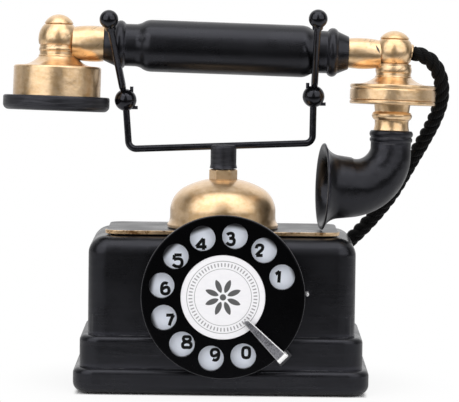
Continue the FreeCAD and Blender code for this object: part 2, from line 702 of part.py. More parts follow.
def make_gear_train():
    gear = new_body("main_gear")
    add_teeth(gear, GEAR_R, "gear_teeth", "-gear_at", "gear_t")
    bore(gear, "shaft_r", "gear_t", ("0", "0", "-gear_at"))
    seat(gear, DIAL_SPOT, FRONT)
    keep(gear, "main_gear")

    governor_spot = (GOVERNOR_X, "-box_d / 2", "dial_z")
    half_pitch = 180 / value("pinion_teeth")
    spindle = new_body("governor_spindle")
    pinion_foot = "-gear_at - (pinion_t - gear_t) / 2"
    add_teeth(spindle, PINION_R, "pinion_teeth", pinion_foot, "pinion_t", half_pitch)
    boss(spindle, "spindle_r", "frame_at - wall - 2 * running", ("0", "0", "-frame_at + running"))
    pivot_foot = "-frame_at - frame_t"
    boss(spindle, "spindle_pivot", "frame_at + frame_t - wall / 2 - running", ("0", "0", pivot_foot))
    seat(spindle, governor_spot, FRONT)
    keep(spindle, "governor_spindle")

    weights = new_body("governor_weights")
    foot = "-frame_at + cup_t + 1"
    primitive(
        weights, "AdditiveBox", ("-arm_l / 2", "-arm_w / 2", foot), UP,
        Length="arm_l", Width="arm_w", Height="arm_t",
    )
    for side in (-1, 1):
        boss(weights, "weight_r", "weight_h", (f"{side} * (arm_l / 2 - weight_r / 2)", "0", foot))
    bore(weights, "spindle_r", "weight_h", ("0", "0", foot))
    seat(weights, governor_spot, FRONT)
    keep(weights, "governor_weights")

    cup_front = "-frame_at + cup_h"
    cup = turned("brake_cup", [
        ("spindle_r + cup_play", "-frame_at"), ("cup_r", "-frame_at"), ("cup_r", cup_front),
        ("cup_r - cup_t", cup_front), ("cup_r - cup_t", "-frame_at + cup_t"),
        ("spindle_r + cup_play", "-frame_at + cup_t"),
    ])
    seat(cup, governor_spot, FRONT)


def make_dial_frame():
    frame = new_body("dial_frame")
    middle = "-frame_shift"
    corners = [(f"{x} - frame_shift", *rest) for x, *rest in rounded("frame_w", "frame_h", "frame_r")]
    pad(frame, outline(new_sketch(frame, "XY_Plane", "-frame_at - frame_t"), corners), "frame_t")
    for side in (-1, 1):
        for end in (-1, 1):
            spot = (f"{side} * pillar_w {middle}", f"{end} * pillar_h", "-frame_at")
            boss(frame, "pillar_r", "frame_at - wall", spot)
    bore(frame, "pivot_r + running", "frame_t", ("0", "0", "-frame_at - frame_t"))
    spot = (f"-{GEAR_R} - {PINION_R}", "0", "-frame_at - frame_t")
    bore(frame, "spindle_pivot + running", "frame_t", spot)
    seat(frame, DIAL_SPOT, FRONT)
    keep(frame, "dial_frame")


def spiral_edge(offset):
    """Half circles that grow by a step at each half turn, about two centres in turn."""
    step = value("spiral_step") / 2
    arcs = []
    for half_turn in range(2 * int(value("spiral_turns"))):
        radius = value("spiral_first") + offset + half_turn * step
        side = 1 if half_turn % 2 == 0 else -1
        centre = Vector(0 if half_turn % 2 == 0 else step, 0, 0)
        across, up = Vector(side * radius, 0, 0), Vector(0, side * radius, 0)
        arcs.append(Part.Arc(centre + across, centre + up, centre - across))
    return arcs


def make_dial_spring():
    inner = spiral_edge(0)
    outer = spiral_edge(value("spiral_t"))
    inside = Part.Wire([arc.toShape() for arc in inner])
    outside = Part.Wire([arc.toShape() for arc in outer])
    caps = [
        Part.makeLine(inner[0].StartPoint, outer[0].StartPoint),
        Part.makeLine(inner[-1].EndPoint, outer[-1].EndPoint),
    ]
    face = Part.Face(Part.Wire(Part.sortEdges(inside.Edges + outside.Edges + caps)[0]))
    spring = feature_of("dial_spring", face.extrude(Vector(0, 0, value("spiral_w"))))
    front = Placement(point(*DIAL_SPOT), Rotation(UP, FRONT))
    spring.Placement = front * Placement(Vector(0, 0, -value("spiral_at")), Rotation())


# Gong and ringer


CROWN = (
    "(((gong_r - gong_shoulder)^2 + (gong_rise - gong_skirt)^2 - gong_shoulder^2)"
    " / (2 * (gong_rise - gong_skirt - gong_shoulder)))"
)
CROWN_Z = f"(lid_top + gong_rise - {CROWN})"
RIM_STEP = "(gong_rim_r - gong_r)"
FLARE_TOP = f"lid_top + gong_rim + sqrt(2 * gong_flare * {RIM_STEP} - {RIM_STEP}^2)"


def gong_turn(thickness):
    """Where the shoulder's arc meets the crown's, for the outside or for the inside."""
    share = f"(({CROWN} - {thickness}) / ({CROWN} - gong_shoulder))"
    return f"(gong_r - gong_shoulder) * {share}", f"{CROWN_Z} + (lid_top + gong_skirt - {CROWN_Z}) * {share}"


def gong_seat(thickness):
    return f"({CROWN_Z} + sqrt(({CROWN} - {thickness})^2 - seat_r^2))"


def make_gong():
    foot = "lid_top + gong_lift"
    gong = turned("gong", [
        ("gong_r - gong_t", foot), ("gong_rim_r", foot), ("gong_rim_r", "lid_top + gong_rim"),
        ("gong_r", FLARE_TOP, "-gong_flare"),
        ("gong_r", "lid_top + gong_skirt"),
        (*gong_turn("0"), "gong_shoulder"), ("seat_r", gong_seat("0"), CROWN),
        ("stud_bolt_r", gong_seat("0")),
        ("stud_bolt_r", gong_seat("gong_t")), ("seat_r", gong_seat("gong_t")),
        (*gong_turn("gong_t"), f"-({CROWN} - gong_t)"),
        ("gong_r - gong_t", "lid_top + gong_skirt", "-(gong_shoulder - gong_t)"),
    ])
    seat(gong, ("0", "axis_y", "0"))

    bore_r = "rod_r + running"
    top = gong_seat("0") + " + nut_h"
    pillar = turned("gong_pillar", [
        (bore_r, "bolt_foot"), ("stud_bolt_r", "bolt_foot"),
        ("stud_bolt_r", "lid_top"), ("seat_r", "lid_top"),
        ("seat_r", gong_seat("gong_t")),
        ("stud_bolt_r", gong_seat("gong_t")), ("stud_bolt_r", top), (bore_r, top),
    ])
    seat(pillar, ("0", "axis_y", "0"))
    cap_nut = nut("gong_nut", "nut_across", "stud_bolt_r", "nut_h", "nut_bevel")
    seat(cap_nut, ("0", "axis_y", gong_seat("0")))
    lower_nut = nut("pillar_nut", "lower_nut_across", "stud_bolt_r", "lower_nut_h", None)
    seat(lower_nut, ("0", "axis_y", "box_top - top_t - lower_nut_h"))


def make_ringer():
    coils = []
    for side in (-1, 1):
        coil = new_body("ringer_coil")
        boss(coil, "coil_r", "coil_h", ("0", "0", "0"))
        boss(coil, "core_r", "coil_h + core_proud", ("0", "0", "0"))
        seat(coil, ("clapper_x", f"clapper_y + {side} * coil_gap", "coil_foot"))
        coils.append(coil)
    group("ringer_coils", coils)

    # The bracket is one bent strip, with two ears beside the coils that carry the clapper's trunnions.
    bracket = new_body("ringer_bracket")
    low = PLATE_TOP
    profile = [
        ("-bracket_l / 2", low), ("bracket_l / 2", low), ("bracket_l / 2", f"{low} + bracket_t"),
        ("-bracket_l / 2 + bracket_t", f"{low} + bracket_t"),
        ("-bracket_l / 2 + bracket_t", "coil_foot - bracket_t"),
        ("bracket_l / 2", "coil_foot - bracket_t"),
        ("bracket_l / 2", "coil_foot"), ("-bracket_l / 2", "coil_foot"),
    ]
    pad(bracket, outline(new_sketch(bracket, "YZ_Plane"), profile), "bracket_w", midplane=True)
    for side in (-1, 1):
        at = (f"{side} * (bracket_w - ear_t) / 2 - ear_t / 2", "-ear_w / 2", "coil_foot")
        primitive(
            bracket, "AdditiveBox", at, UP,
            Length="ear_t", Width="ear_w", Height="pivot_z + ear_w / 2 - coil_foot",
        )
    bore(bracket, "trunnion_r + running", "2 * bracket_w", ("-bracket_w", "0", "pivot_z"), ACROSS)
    seat(bracket, ("clapper_x", "clapper_y", "0"))
    keep(bracket, "ringer_bracket")

    clapper = new_body("clapper")
    primitive(
        clapper, "AdditiveBox", ("-armature_w / 2", "-armature_l / 2", "-armature_t / 2"), UP,
        Length="armature_w", Width="armature_l", Height="armature_t",
    )
    boss(clapper, "trunnion_r", "bracket_w", ("-bracket_w / 2", "0", "0"), ACROSS)
    hammer = ("0", "hammer_y - clapper_y", "hammer_z - pivot_z")
    reach = point(*hammer)
    stem = boss(clapper, "clapper_r", str(reach.Length), ("0", "0", "0"))
    stem.Placement = Placement(Vector(), Rotation(UP, reach))
    primitive(clapper, "AdditiveSphere", hammer, UP, Radius="hammer_r")
    seat(clapper, ("clapper_x", "clapper_y", "pivot_z"))
    keep(clapper, "clapper")


# Hook switch and the parts on the floor plate


def make_hook_switch():
    bracket = new_body("switch_bracket")
    low = PLATE_TOP
    profile = [
        ("-shelf_w / 2", low), ("shelf_w / 2", low), ("shelf_w / 2", f"{low} + shelf_t"),
        ("-shelf_w / 2 + shelf_t", f"{low} + shelf_t"), ("-shelf_w / 2 + shelf_t", "shelf_z - shelf_t"),
        ("shelf_reach", "shelf_z - shelf_t"), ("shelf_reach", "shelf_z"), ("-shelf_w / 2", "shelf_z"),
    ]
    pad(bracket, outline(new_sketch(bracket, "YZ_Plane"), profile), "shelf_x", midplane=True)
    bore(bracket, "rod_r + running", "2 * shelf_t", ("0", "0", "shelf_z - 1.5 * shelf_t"))
    seat(bracket, ("0", "axis_y", "0"))
    keep(bracket, "switch_bracket")

    # Contact springs reach out of an insulating block behind the rod, under the rim of the rod's collar.
    stack = new_body("switch_springs")
    primitive(
        stack, "AdditiveBox", ("-block_l / 2", "0", "0"), UP,
        Length="block_l", Width="block_w", Height="block_h",
    )
    for row in (0, 1):
        at = ("-leaf_w / 2", "-leaf_l", f"leaf_z - {row} * leaf_gap")
        primitive(stack, "AdditiveBox", at, UP, Length="leaf_w", Width="leaf_l + leaf_in", Height="leaf_t")
    seat(stack, ("0", "axis_y + block_from", "shelf_z"))
    keep(stack, "switch_springs")

    radius, wire, gap = (value(name) for name in ("spring_r", "spring_wire", "spring_gap"))
    foot, top = value("shelf_z") + wire + gap, value("collar_z") - wire - gap
    helix = Part.makeHelix((top - foot) / value("spring_turns"), top - foot, radius)
    section = Part.Wire([Part.makeCircle(wire, Vector(radius, 0, 0), Vector(0, 1, 0))])
    spring = feature_of("hook_spring", Part.Wire(helix.Edges).makePipeShell([section], True, True))
    spring.Placement = Placement(Vector(0, value("axis_y"), foot), Rotation())


def make_inner_parts():
    condenser = plate("condenser", "condenser_l", "condenser_w", "condenser_r", "0", "condenser_h")
    seat(condenser, ("condenser_x", "condenser_y", PLATE_TOP))

    coil = turned("induction_coil", [
        ("0", "-core_l / 2"), ("former_r", "-core_l / 2"), ("former_r", "-core_l / 2 + former_t"),
        ("winding_r", "-core_l / 2 + former_t"), ("winding_r", "core_l / 2 - former_t"),
        ("former_r", "core_l / 2 - former_t"), ("former_r", "core_l / 2"), ("0", "core_l / 2"),
    ])
    seat(coil, ("coil_x", "coil_y", f"{PLATE_TOP} + former_r"), ACROSS)

    strip = new_body("terminal_strip")
    primitive(
        strip, "AdditiveBox", ("-strip_l / 2", "-strip_w / 2", "0"), UP,
        Length="strip_l", Width="strip_w", Height="strip_h",
    )
    for number in range(int(value("post_count"))):
        x = f"-strip_l / 2 + strip_l * ({number} + 0.5) / post_count"
        boss(strip, "terminal_r", "terminal_h", (x, "0", "strip_h"))
    seat(strip, ("strip_x", "strip_y", PLATE_TOP))
    keep(strip, "terminal_strip")


# Cradle


def wire_bend(_run, _turn):
    return value("wire_bend")


def yoke_bend(_run, _turn):
    return value("yoke_bend")


def make_yoke(label, side):
    """A V of wire across the top of its ball. The hind prong leans out a little further than the front."""
    outward = -1 if side == "left" else 1
    foot_x = f"{side}_ball_x + {side}_lean"
    foot_z = f"{side}_ball_z + yoke_rest"
    spots = []
    for end in (-1, 1):
        foot = point(foot_x, f"axis_y + {end} * yoke_half", foot_z)
        hind = max(end, 0)
        tip_x = f"{side}_tip_x + {outward * hind} * prong_out"
        tip = point(tip_x, f"axis_y + {end} * {side}_spread", f"{side}_tip_z - {hind} * prong_drop")
        spots.append((foot, tip))
    (front_foot, front_tip), (back_foot, back_tip) = spots
    path = bent_path([front_tip, front_foot, back_foot, back_tip], yoke_bend)
    yoke = feature_of(label, tube_along(path, value("wire_r")))
    return yoke, spots


def make_yoke_tips(yoke, spots):
    """A ball with a small neck on the end of each prong."""
    tips = []
    for foot, tip in spots:
        knob = new_body("yoke_tip")
        primitive(knob, "AdditiveSphere", ("0", "0", "0"), UP, Radius="tip_r")
        boss(knob, "tip_neck_r", "tip_neck", ("0", "0", "-tip_neck"))
        knob.Placement = Placement(tip, Rotation(UP, tip - foot))
        tips.append(cut_away("tip", knob, [yoke]))
    return tips


def make_ball(side, tools):
    ball = doc.addObject("Part::Sphere", side + "_ball")
    bind(ball, Radius="ball_r")
    seat(ball, (f"{side}_ball_x", "axis_y", f"{side}_ball_z"))
    return cut_away(side + "_ball_cut", ball, tools)


def make_ball_pins(side):
    """A peg on the ball's inner side and a spur below it, both pressed in."""
    inward = 1 if side == "left" else -1
    peg = doc.addObject("Part::Cylinder", side + "_peg")
    bind(peg, Radius="pin_r", Height="pin_top - pin_in")
    seat(peg, (f"{side}_ball_x + {inward} * pin_in", "axis_y", f"{side}_ball_z + pin_in"))
    spur = doc.addObject("Part::Cylinder", side + "_spur")
    bind(spur, Radius="pin_r", Height="spur_reach - pin_in")
    seat(spur, (f"{side}_ball_x + pin_in", "axis_y", f"{side}_ball_z - spur_drop"), ACROSS)
    return [peg, spur]


def make_cradle():
    corners = [
        point("left_ball_x", "axis_y", "left_ball_z"), point("left_foot_x", "axis_y", "left_foot_z"),
        point("right_foot_x", "axis_y", "right_foot_z"), point("right_ball_x", "axis_y", "right_ball_z"),
    ]
    frame = feature_of("cradle_frame", tube_along(bent_path(corners, wire_bend), value("wire_r")))

    post = new_body("post_blank")
    revolve(post, outline(new_sketch(post, "XZ_Plane"), [
        ("0", "post_foot"), ("post_flare", "post_foot"),
        ("post_r", "post_foot + post_cone"), ("post_r", "post_top - post_round"),
        ("post_r - post_round", "post_top", "post_round"), ("0", "post_top"),
    ]))
    bore(post, "rod_r", "rod_socket - post_foot", ("0", "0", "post_foot"))
    seat(post, ("0", "axis_y", "0"))
    keep(cut_away("post", post, [frame]), "cradle_post")

    rod = turned("plunger_rod", [
        ("0", "rod_foot"), ("rod_r", "rod_foot"), ("rod_r", "collar_z"), ("collar_r", "collar_z"),
        ("collar_r", "collar_z + collar_t"), ("rod_r", "collar_z + collar_t"),
        ("rod_r", "rod_socket"), ("0", "rod_socket"),
    ])
    seat(rod, ("0", "axis_y", "0"))

    tips, balls, pins = [], [], []
    for side in ("left", "right"):
        yoke, spots = make_yoke(side + "_yoke", side)
        tips += make_yoke_tips(yoke, spots)
        side_pins = make_ball_pins(side)
        balls.append(make_ball(side, [frame, yoke, *side_pins]))
        pins += side_pins
    group("yoke_tips", tips)
    group("cradle_balls", balls)
    group("ball_pins", pins)


# Handset


def handset_place():
    turn = Rotation(BACK, value("handset_tilt")) * Rotation(ACROSS, value("handset_roll"))
    return Placement(point("handset_x", "axis_y", "handset_z"), turn)


def ride(thing, x="0", rotation=Rotation(), z="0"):
    """Place a handset piece by its distance along the handle and its height above the handle's axis."""
    thing.Placement = handset_place() * Placement(point(x, "0", z), rotation)
    return thing


def make_handle():
    """Turned grip. Each station may end with the radius of the arc that leaves it towards the middle."""
    stations = [
        ("tenon_r", "handle_half + tenon_l"), ("tenon_r", "handle_half"), ("end_r", "handle_half"),
        ("neck_r", "ring_at + ring_half", "ring_round"), ("neck_r", "ring_at - ring_half"),
        ("neck_r", "waist_at", "-cove"), ("grip_r - grip_rise", "grip_half + grip_run / 2", "grip_round"),
        ("grip_r", "grip_half - grip_run / 2"),
    ]
    lower = []
    arriving = []
    for radius, reach, *leaving in stations:
        lower.append((radius, f"-({reach})", *arriving))
        arriving = leaving
    upper = stations[::-1]
    bore_ends = [("handle_bore", "handle_half + tenon_l"), ("handle_bore", "-handle_half - tenon_l")]
    handle = turned("handle_grip", [*lower, *upper, *bore_ends])
    ride(handle, "0", Rotation(UP, ACROSS))


def make_arm(label, names, collar_sign):
    """Ball and band turned upright, with a barrel collar that takes the end of the handle."""
    ball_r, ball_z, ball_top, groove, band_r, band_foot, collar_r, collar_from = names
    top_r = f"sqrt({ball_r}^2 - ({ball_top} - {ball_z})^2)"
    groove_r = f"sqrt({ball_r}^2 - ({groove} - {ball_z})^2)"
    arm = turned(label, [
        ("0", f"{band_foot} - arm_tenon"),
        ("arm_tenon_r", f"{band_foot} - arm_tenon"), ("arm_tenon_r", band_foot),
        (band_r, band_foot), (band_r, f"{groove} - groove_low"),
        (f"{groove_r} - groove_in", f"{groove} - arm_groove"), (groove_r, groove),
        (ball_r, ball_z, ball_r), (top_r, ball_top, ball_r), ("0", ball_top),
    ])
    near, far = f"{collar_sign} * ({collar_from})", f"{collar_sign} * (arm_x - handle_half)"
    barrel = [("0", near), (f"{collar_r} - barrel_near", near), (f"{collar_r} - barrel_far", far), ("0", far)]
    bulge = f"{-collar_sign} * barrel_bulge"
    barrel[2] = (*barrel[2], bulge)
    sketch = new_sketch(arm, "XZ_Plane")
    outline(sketch, [(across, up, *rest) for up, across, *rest in barrel])
    revolve(arm, sketch, "H_Axis")
    direction = ACROSS * collar_sign
    bore(arm, "tenon_r", "tenon_l", (f"{collar_sign} * (arm_x - handle_half - tenon_l)", "0", "0"), direction)
    return arm


def dome(label, radius, foot, top):
    lip = f"{foot} + dome_lip"
    rise = f"({top} - ({lip}))"
    return turned(label, [
        ("0", foot), (f"{radius} - dome_lip", foot), (radius, lip),
        ("0", top, f"({radius}^2 + {rise}^2) / (2 * {rise})"),
    ])


def make_receiver():
    names = (
        "ear_ball_r", "ear_ball_z", "ear_ball_top", "ear_groove", "ear_band_r", "ear_band_foot",
        "ear_collar_r", "ear_collar_from",
    )
    arm = ride(make_arm("receiver_arm", names, 1), "-arm_x")
    ceiling = "drum_top - drum_t"
    shell = turned("shell_blank", [
        ("arm_tenon_r", ceiling), ("drum_r - drum_t", ceiling),
        ("drum_r - drum_t", "drum_foot"), ("drum_r", "drum_foot"),
        ("drum_r", "drum_top - drum_round"), ("drum_r - drum_round", "drum_top", "drum_round"),
        ("ear_band_r", "ear_band_foot", "-drum_cove"), ("arm_tenon_r", "ear_band_foot"),
    ])
    nodes.pop("shell_blank")
    keep(cut_away("shell", ride(shell, "-arm_x"), [arm]), "receiver_shell")

    cap_in = "drum_r - drum_t"
    collar_top = "drum_foot + cap_collar"
    rim_z = "cap_foot + cap_round"
    cap = turned("ear_cap", [
        ("0", "cap_foot + cap_dish - cap_fall"),
        ("cap_r - 2 * cap_round", "cap_foot"), ("cap_r - cap_round", "cap_foot"),
        ("cap_r", rim_z, "cap_round"), ("cap_r", "drum_foot - cap_edge"),
        ("cap_r - cap_edge", "drum_foot", "cap_edge"), (cap_in, "drum_foot"),
        (cap_in, collar_top), (f"{cap_in} - cap_collar_t", collar_top),
        (f"{cap_in} - cap_collar_t", "cap_foot + cap_dish + cap_t - cap_fall"),
        ("0", "cap_foot + cap_dish + cap_t"),
    ])
    bore(cap, "ear_hole_r", "3 * cap_t", ("0", "0", "cap_foot"))
    sketch = circle(new_sketch(cap, "XY_Plane", "cap_foot"), "ear_hole_r", "ear_hole_at")
    hole = pocket(cap, sketch, "3 * cap_t")
    ring_pattern(cap, hole, sketch, "ear_hole_count", "360")
    ride(cap, "-arm_x")

    magnet = new_body("receiver_magnet")
    boss(magnet, "magnet_r", "magnet_t", ("0", "0", f"{ceiling} - magnet_t"))
    for side in (-1, 1):
        at = (f"{side} * pole_at - pole_w / 2", "-pole_l / 2", f"{ceiling} - magnet_t - pole_t")
        primitive(magnet, "AdditiveBox", at, UP, Length="pole_w", Width="pole_l", Height="pole_t")
    ride(keep(magnet, "receiver_magnet"), "-arm_x")

    diaphragm = new_body("receiver_diaphragm")
    boss(diaphragm, "drum_r - drum_t - diaphragm_play", "diaphragm_t", ("0", "0", collar_top))
    ride(keep(diaphragm, "receiver_diaphragm"), "-arm_x")


def make_transmitter():
    names = (
        "tx_ball_r", "tx_ball_z", "tx_ball_top", "tx_groove", "tx_band_r", "tx_band_foot",
        "tx_collar_r", "tx_collar_from",
    )
    arm = make_arm("transmitter_arm", names, -1)
    dip = Rotation(BACK, 90 + value("gland_dip"))
    spot = ("gland_from * cos(gland_dip)", "0", "gland_z - gland_from * sin(gland_dip)")
    bore(arm, "gland_r", "gland_end", spot, dip.multVec(UP))
    ride(arm, "arm_x")

    gland = turned("handset_gland", [
        ("0", "gland_from"), ("gland_r", "gland_from"), ("gland_r", "gland_end - gland_taper"),
        ("cord_r + gland_lip", "gland_end"), ("0", "gland_end"),
    ])
    ride(gland, "arm_x", dip, "gland_z")

    ceiling = "case_top - case_t"
    groove_in = "case_r - groove_t"
    case = turned("transmitter_case", [
        ("arm_tenon_r", ceiling), ("case_r - case_t", ceiling),
        ("case_r - case_t", "case_split"), ("case_r", "case_split"),
        ("case_r", "case_groove - groove_t"),
        (groove_in, "case_groove"), ("case_r", "case_groove + groove_t"),
        ("case_r", "case_top - case_edge_z"),
        ("case_r - case_edge", "case_top", "case_edge_r"), ("tx_band_r", "tx_band_foot", "-case_cove"),
        ("arm_tenon_r", "tx_band_foot"),
    ])
    ride(case, "arm_x")

    cover = turned("transmitter_cover", [
        ("neck_bore", "neck_foot"), ("neck_top_r", "neck_foot"),
        ("neck_low_r", "neck_ring_z - ring_low", "-neck_cove"),
        ("neck_ring_r", "neck_ring_z", "ring_low_r"),
        ("neck_top_r - ring_in", "neck_ring_z + ring_up", "ring_up"), ("neck_top_r", "case_foot"),
        ("case_r - case_edge", "case_foot"),
        ("case_r", "case_foot + case_edge", "case_edge"), ("case_r", "case_split - cover_step"),
        ("case_r - groove_t", "case_split"), ("neck_bore", "case_split"),
    ])
    ride(cover, "arm_x")

    capsule = new_body("transmitter_capsule")
    boss(capsule, "capsule_r", "capsule_t", ("0", "0", "case_split"))
    ride(keep(capsule, "transmitter_capsule"), "arm_x")

    bead_foot = "neck_foot - collar_bead"
    collar = turned("horn_collar", [
        ("horn_bore", "collar_foot"), ("horn_r", "collar_foot"),
        ("horn_r", f"{bead_foot} - collar_ring", "collar_foot_r"),
        ("horn_r", bead_foot, "collar_ring_r"),
        ("horn_r", "neck_foot", "bead_r"), ("neck_bore", "neck_foot"),
        ("horn_bore", bead_foot),
    ])
    ride(collar, "arm_x")

    finials = [
        ride(dome("receiver_dome", "ear_dome_r", "ear_ball_top", "ear_dome_top"), "-arm_x"),
        ride(dome("transmitter_dome", "tx_dome_r", "tx_ball_top", "tx_dome_top"), "arm_x"),
    ]
    for finial in finials:
        nodes.pop(finial.Label)
    group("handset_finials", finials)


# Elbow horn


def horn_sections(body, inset):
    """Circles along the straight start and the bend, which widen towards the mouth."""
    sketches = []
    for share in (0, 0.25, 0.5, 0.75, 1):
        angle = 90 * share
        drop = f"-horn_run - horn_bend * sin({angle})"
        slide = f"horn_bend * (cos({angle}) - 1)"
        sketch = new_sketch(body, "XY_Plane", drop, "0", slide, Rotation(BACK, angle))
        sketches.append(circle(sketch, f"horn_r + (horn_mid_r - horn_r) * {share} - {inset}"))
    return sketches


def horn_skin(body, kind, inset):
    first, *others = horn_sections(body, inset)
    loft = body.newObject("PartDesign::" + kind, kind)
    loft.Profile = first
    loft.Sections = others
    loft.Ruled = False
    return loft


def make_horn():
    horn = new_body("mouth_horn")
    drop = "-horn_run - horn_bend"
    boss(horn, "horn_r", "horn_run", ("0", "0", "-horn_run"))
    horn_skin(horn, "AdditiveLoft", "0")
    flare = new_sketch(horn, "XZ_Plane", shift=drop)
    revolve(horn, outline(flare, [
        ("-horn_bend", "0"), ("-horn_mouth", "0"), ("-horn_mouth", "horn_mouth_r - horn_lip / 2"),
        ("-horn_mouth + horn_lip / 2", "horn_mouth_r", "-horn_lip / 2"),
        ("-horn_neck", "horn_neck_r", "horn_flare"), ("-horn_bend", "horn_mid_r"),
    ]), "H_Axis")
    bore(horn, "horn_r - horn_t", "horn_run", ("0", "0", "-horn_run"))
    horn_skin(horn, "SubtractiveLoft", "horn_t")
    bell = new_sketch(horn, "XZ_Plane", shift=drop)
    revolve(horn, outline(bell, [
        ("-horn_bend", "0"), ("-horn_mouth", "0"), ("-horn_mouth", "horn_mouth_r - horn_lip"),
        ("-horn_neck", "horn_neck_r - horn_t", "horn_flare"), ("-horn_bend", "horn_mid_r - horn_t"),
    ]), "H_Axis", "Groove")
    under_collar = Placement(point("arm_x", "0", "collar_foot"), Rotation(UP, value("horn_swing")))
    horn.Placement = handset_place() * under_collar
    keep(horn, "mouth_horn")


# Cord and its sleeves


def cord_bend(run, turn):
    radius = BEND_SHARE * run / math.tan(turn / 2)
    print(f"cord bend {radius:.1f} mm")
    return radius


def sleeve(label, spot, along, bore_r, held_r, body_r, flange_r, reach):
    """A rubber sleeve through the wall, with a flange outside it that tapers towards the cord it holds."""
    body = turned(label, [
        (bore_r, "-wall"), (body_r, "-wall"), (body_r, "0"),
        (flange_r, "0"), (flange_r, "grommet_t - sleeve_edge"),
        (f"{flange_r} - sleeve_edge", "grommet_t"), (f"{held_r} + sleeve_root", "grommet_t"),
        (f"{held_r} + sleeve_tip", reach), (bore_r, reach),
    ])
    seat(body, spot, along)


def make_cord():
    sleeve(
        "cord_grommet", ("grommet_x", "box_d / 2", "grommet_z"), BACK,
        "cord_r / 2", "cord_r", "grommet_r", "grommet_flange", "grommet_end",
    )
    sleeve(
        "line_inlet", ("inlet_x", "mid_d / 2", "inlet_z"), BACK,
        "inlet_bore", "inlet_bore", "inlet_r", "inlet_flange", "grommet_end / 2",
    )
    dip = Rotation(BACK, 90 + value("gland_dip"))
    gland = handset_place() * Placement(point("arm_x", "0", "gland_z"), dip)
    start = gland.multVec(UP * value("gland_end + cord_gap"))
    lead = gland.multVec(UP * value("gland_end + cord_gap + cord_lead"))
    end = point("grommet_x", "box_d / 2 + grommet_end", "grommet_z")
    route = [start, lead, *(Vector(*spot) for spot in CORD_ROUTE), end]
    path = bent_path(route, cord_bend)
    cord = feature_of("handset_cord", tube_along(path, value("cord_r")))
    section = math.pi * value("cord_r") ** 2
    print(f"cord length {path.Length:.1f} mm, volume ratio {cord.Shape.Volume / (section * path.Length):.4f}")


# Build, check and write


def build():
    fill_sheet()
    make_housing()
    make_lid()
    make_floor()
    make_dial_mount()
    make_dial_screws()
    make_finger_stop()
    make_finger_wheel()
    make_gear_train()
    make_dial_frame()
    make_dial_spring()
    make_gong()
    make_ringer()
    make_hook_switch()
    make_inner_parts()
    make_cradle()
    make_handle()
    make_receiver()
    make_transmitter()
    make_horn()
    make_cord()
    doc.recompute()


def check():
    for thing in doc.Objects:
        if "Invalid" in thing.State or "Error" in thing.State:
            raise RuntimeError(f"{thing.Label} failed: {thing.State}")
    for label, thing in nodes.items():
        if thing.Shape.isNull() or not thing.Shape.isValid():
            raise RuntimeError(f"{label} has no valid shape")


def write():
    os.makedirs("parts", exist_ok=True)
    for label, thing in nodes.items():
        thing.Shape.exportStep(f"parts/{label}.step")
    print(len(nodes), "nodes")


build()
check()
write()
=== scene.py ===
# %% [markdown]
# A desk telephone in the old style: a stepped black case with a dial on its front, a gilt gong on its lid,
# and a handset with an elbow horn in a tall wire cradle. The pieces come from the CAD frame, already at
# their places and in metres. This lesson softens their edges, gives each surface its hand-painted finish,
# twists a cord along its route and letters the dial, and then sets the telephone on a pale floor under soft
# studio light.

# %% Load the frame
import json
import math

import bmesh
import bpy
from mathutils import Matrix, Quaternion, Vector
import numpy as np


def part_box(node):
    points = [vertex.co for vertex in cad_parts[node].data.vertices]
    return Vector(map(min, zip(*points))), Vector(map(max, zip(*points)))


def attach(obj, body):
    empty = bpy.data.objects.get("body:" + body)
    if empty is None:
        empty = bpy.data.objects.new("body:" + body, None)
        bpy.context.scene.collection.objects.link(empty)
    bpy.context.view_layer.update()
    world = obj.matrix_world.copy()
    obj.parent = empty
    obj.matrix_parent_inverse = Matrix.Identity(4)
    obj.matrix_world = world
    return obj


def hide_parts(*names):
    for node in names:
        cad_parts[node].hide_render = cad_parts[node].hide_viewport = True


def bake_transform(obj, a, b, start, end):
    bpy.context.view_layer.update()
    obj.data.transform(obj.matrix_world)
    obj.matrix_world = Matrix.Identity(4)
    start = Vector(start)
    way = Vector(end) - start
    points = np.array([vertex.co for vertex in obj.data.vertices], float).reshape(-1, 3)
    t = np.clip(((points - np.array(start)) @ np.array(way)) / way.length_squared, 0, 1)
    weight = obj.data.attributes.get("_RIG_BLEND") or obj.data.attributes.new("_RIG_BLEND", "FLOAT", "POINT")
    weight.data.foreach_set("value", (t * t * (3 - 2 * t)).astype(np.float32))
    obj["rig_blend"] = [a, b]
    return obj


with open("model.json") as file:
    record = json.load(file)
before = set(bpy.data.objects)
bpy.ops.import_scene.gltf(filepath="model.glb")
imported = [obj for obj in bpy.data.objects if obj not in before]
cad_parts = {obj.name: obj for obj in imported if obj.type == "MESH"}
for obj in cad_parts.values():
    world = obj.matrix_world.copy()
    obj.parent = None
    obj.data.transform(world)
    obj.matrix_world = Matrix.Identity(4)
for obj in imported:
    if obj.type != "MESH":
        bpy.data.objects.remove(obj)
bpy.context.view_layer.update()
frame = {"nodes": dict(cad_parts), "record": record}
scene = bpy.context.scene
scene.view_settings.view_transform = "Standard"
MM = 0.001

# %% [markdown]
# The camera comes first, because everything after it is judged through it. The telephone is seen from the
# front and a little above, through a long lens: the case hardly narrows towards its back. A camera that
# stands 1.6 m away, with one pixel of the picture covering about half a millimetre at the case, gives the
# same view.

# %% Camera
IMAGE_WIDTH = 459
SENSOR_WIDTH = 36
PIXEL_SIZE = 0.52 * MM
CAMERA_DISTANCE = 1600 * MM
CAMERA_RISE = math.radians(4.4)
CAMERA_ROLL = math.radians(0.7)
CAMERA_TARGET = Vector((3.4, 0, 96)) * MM

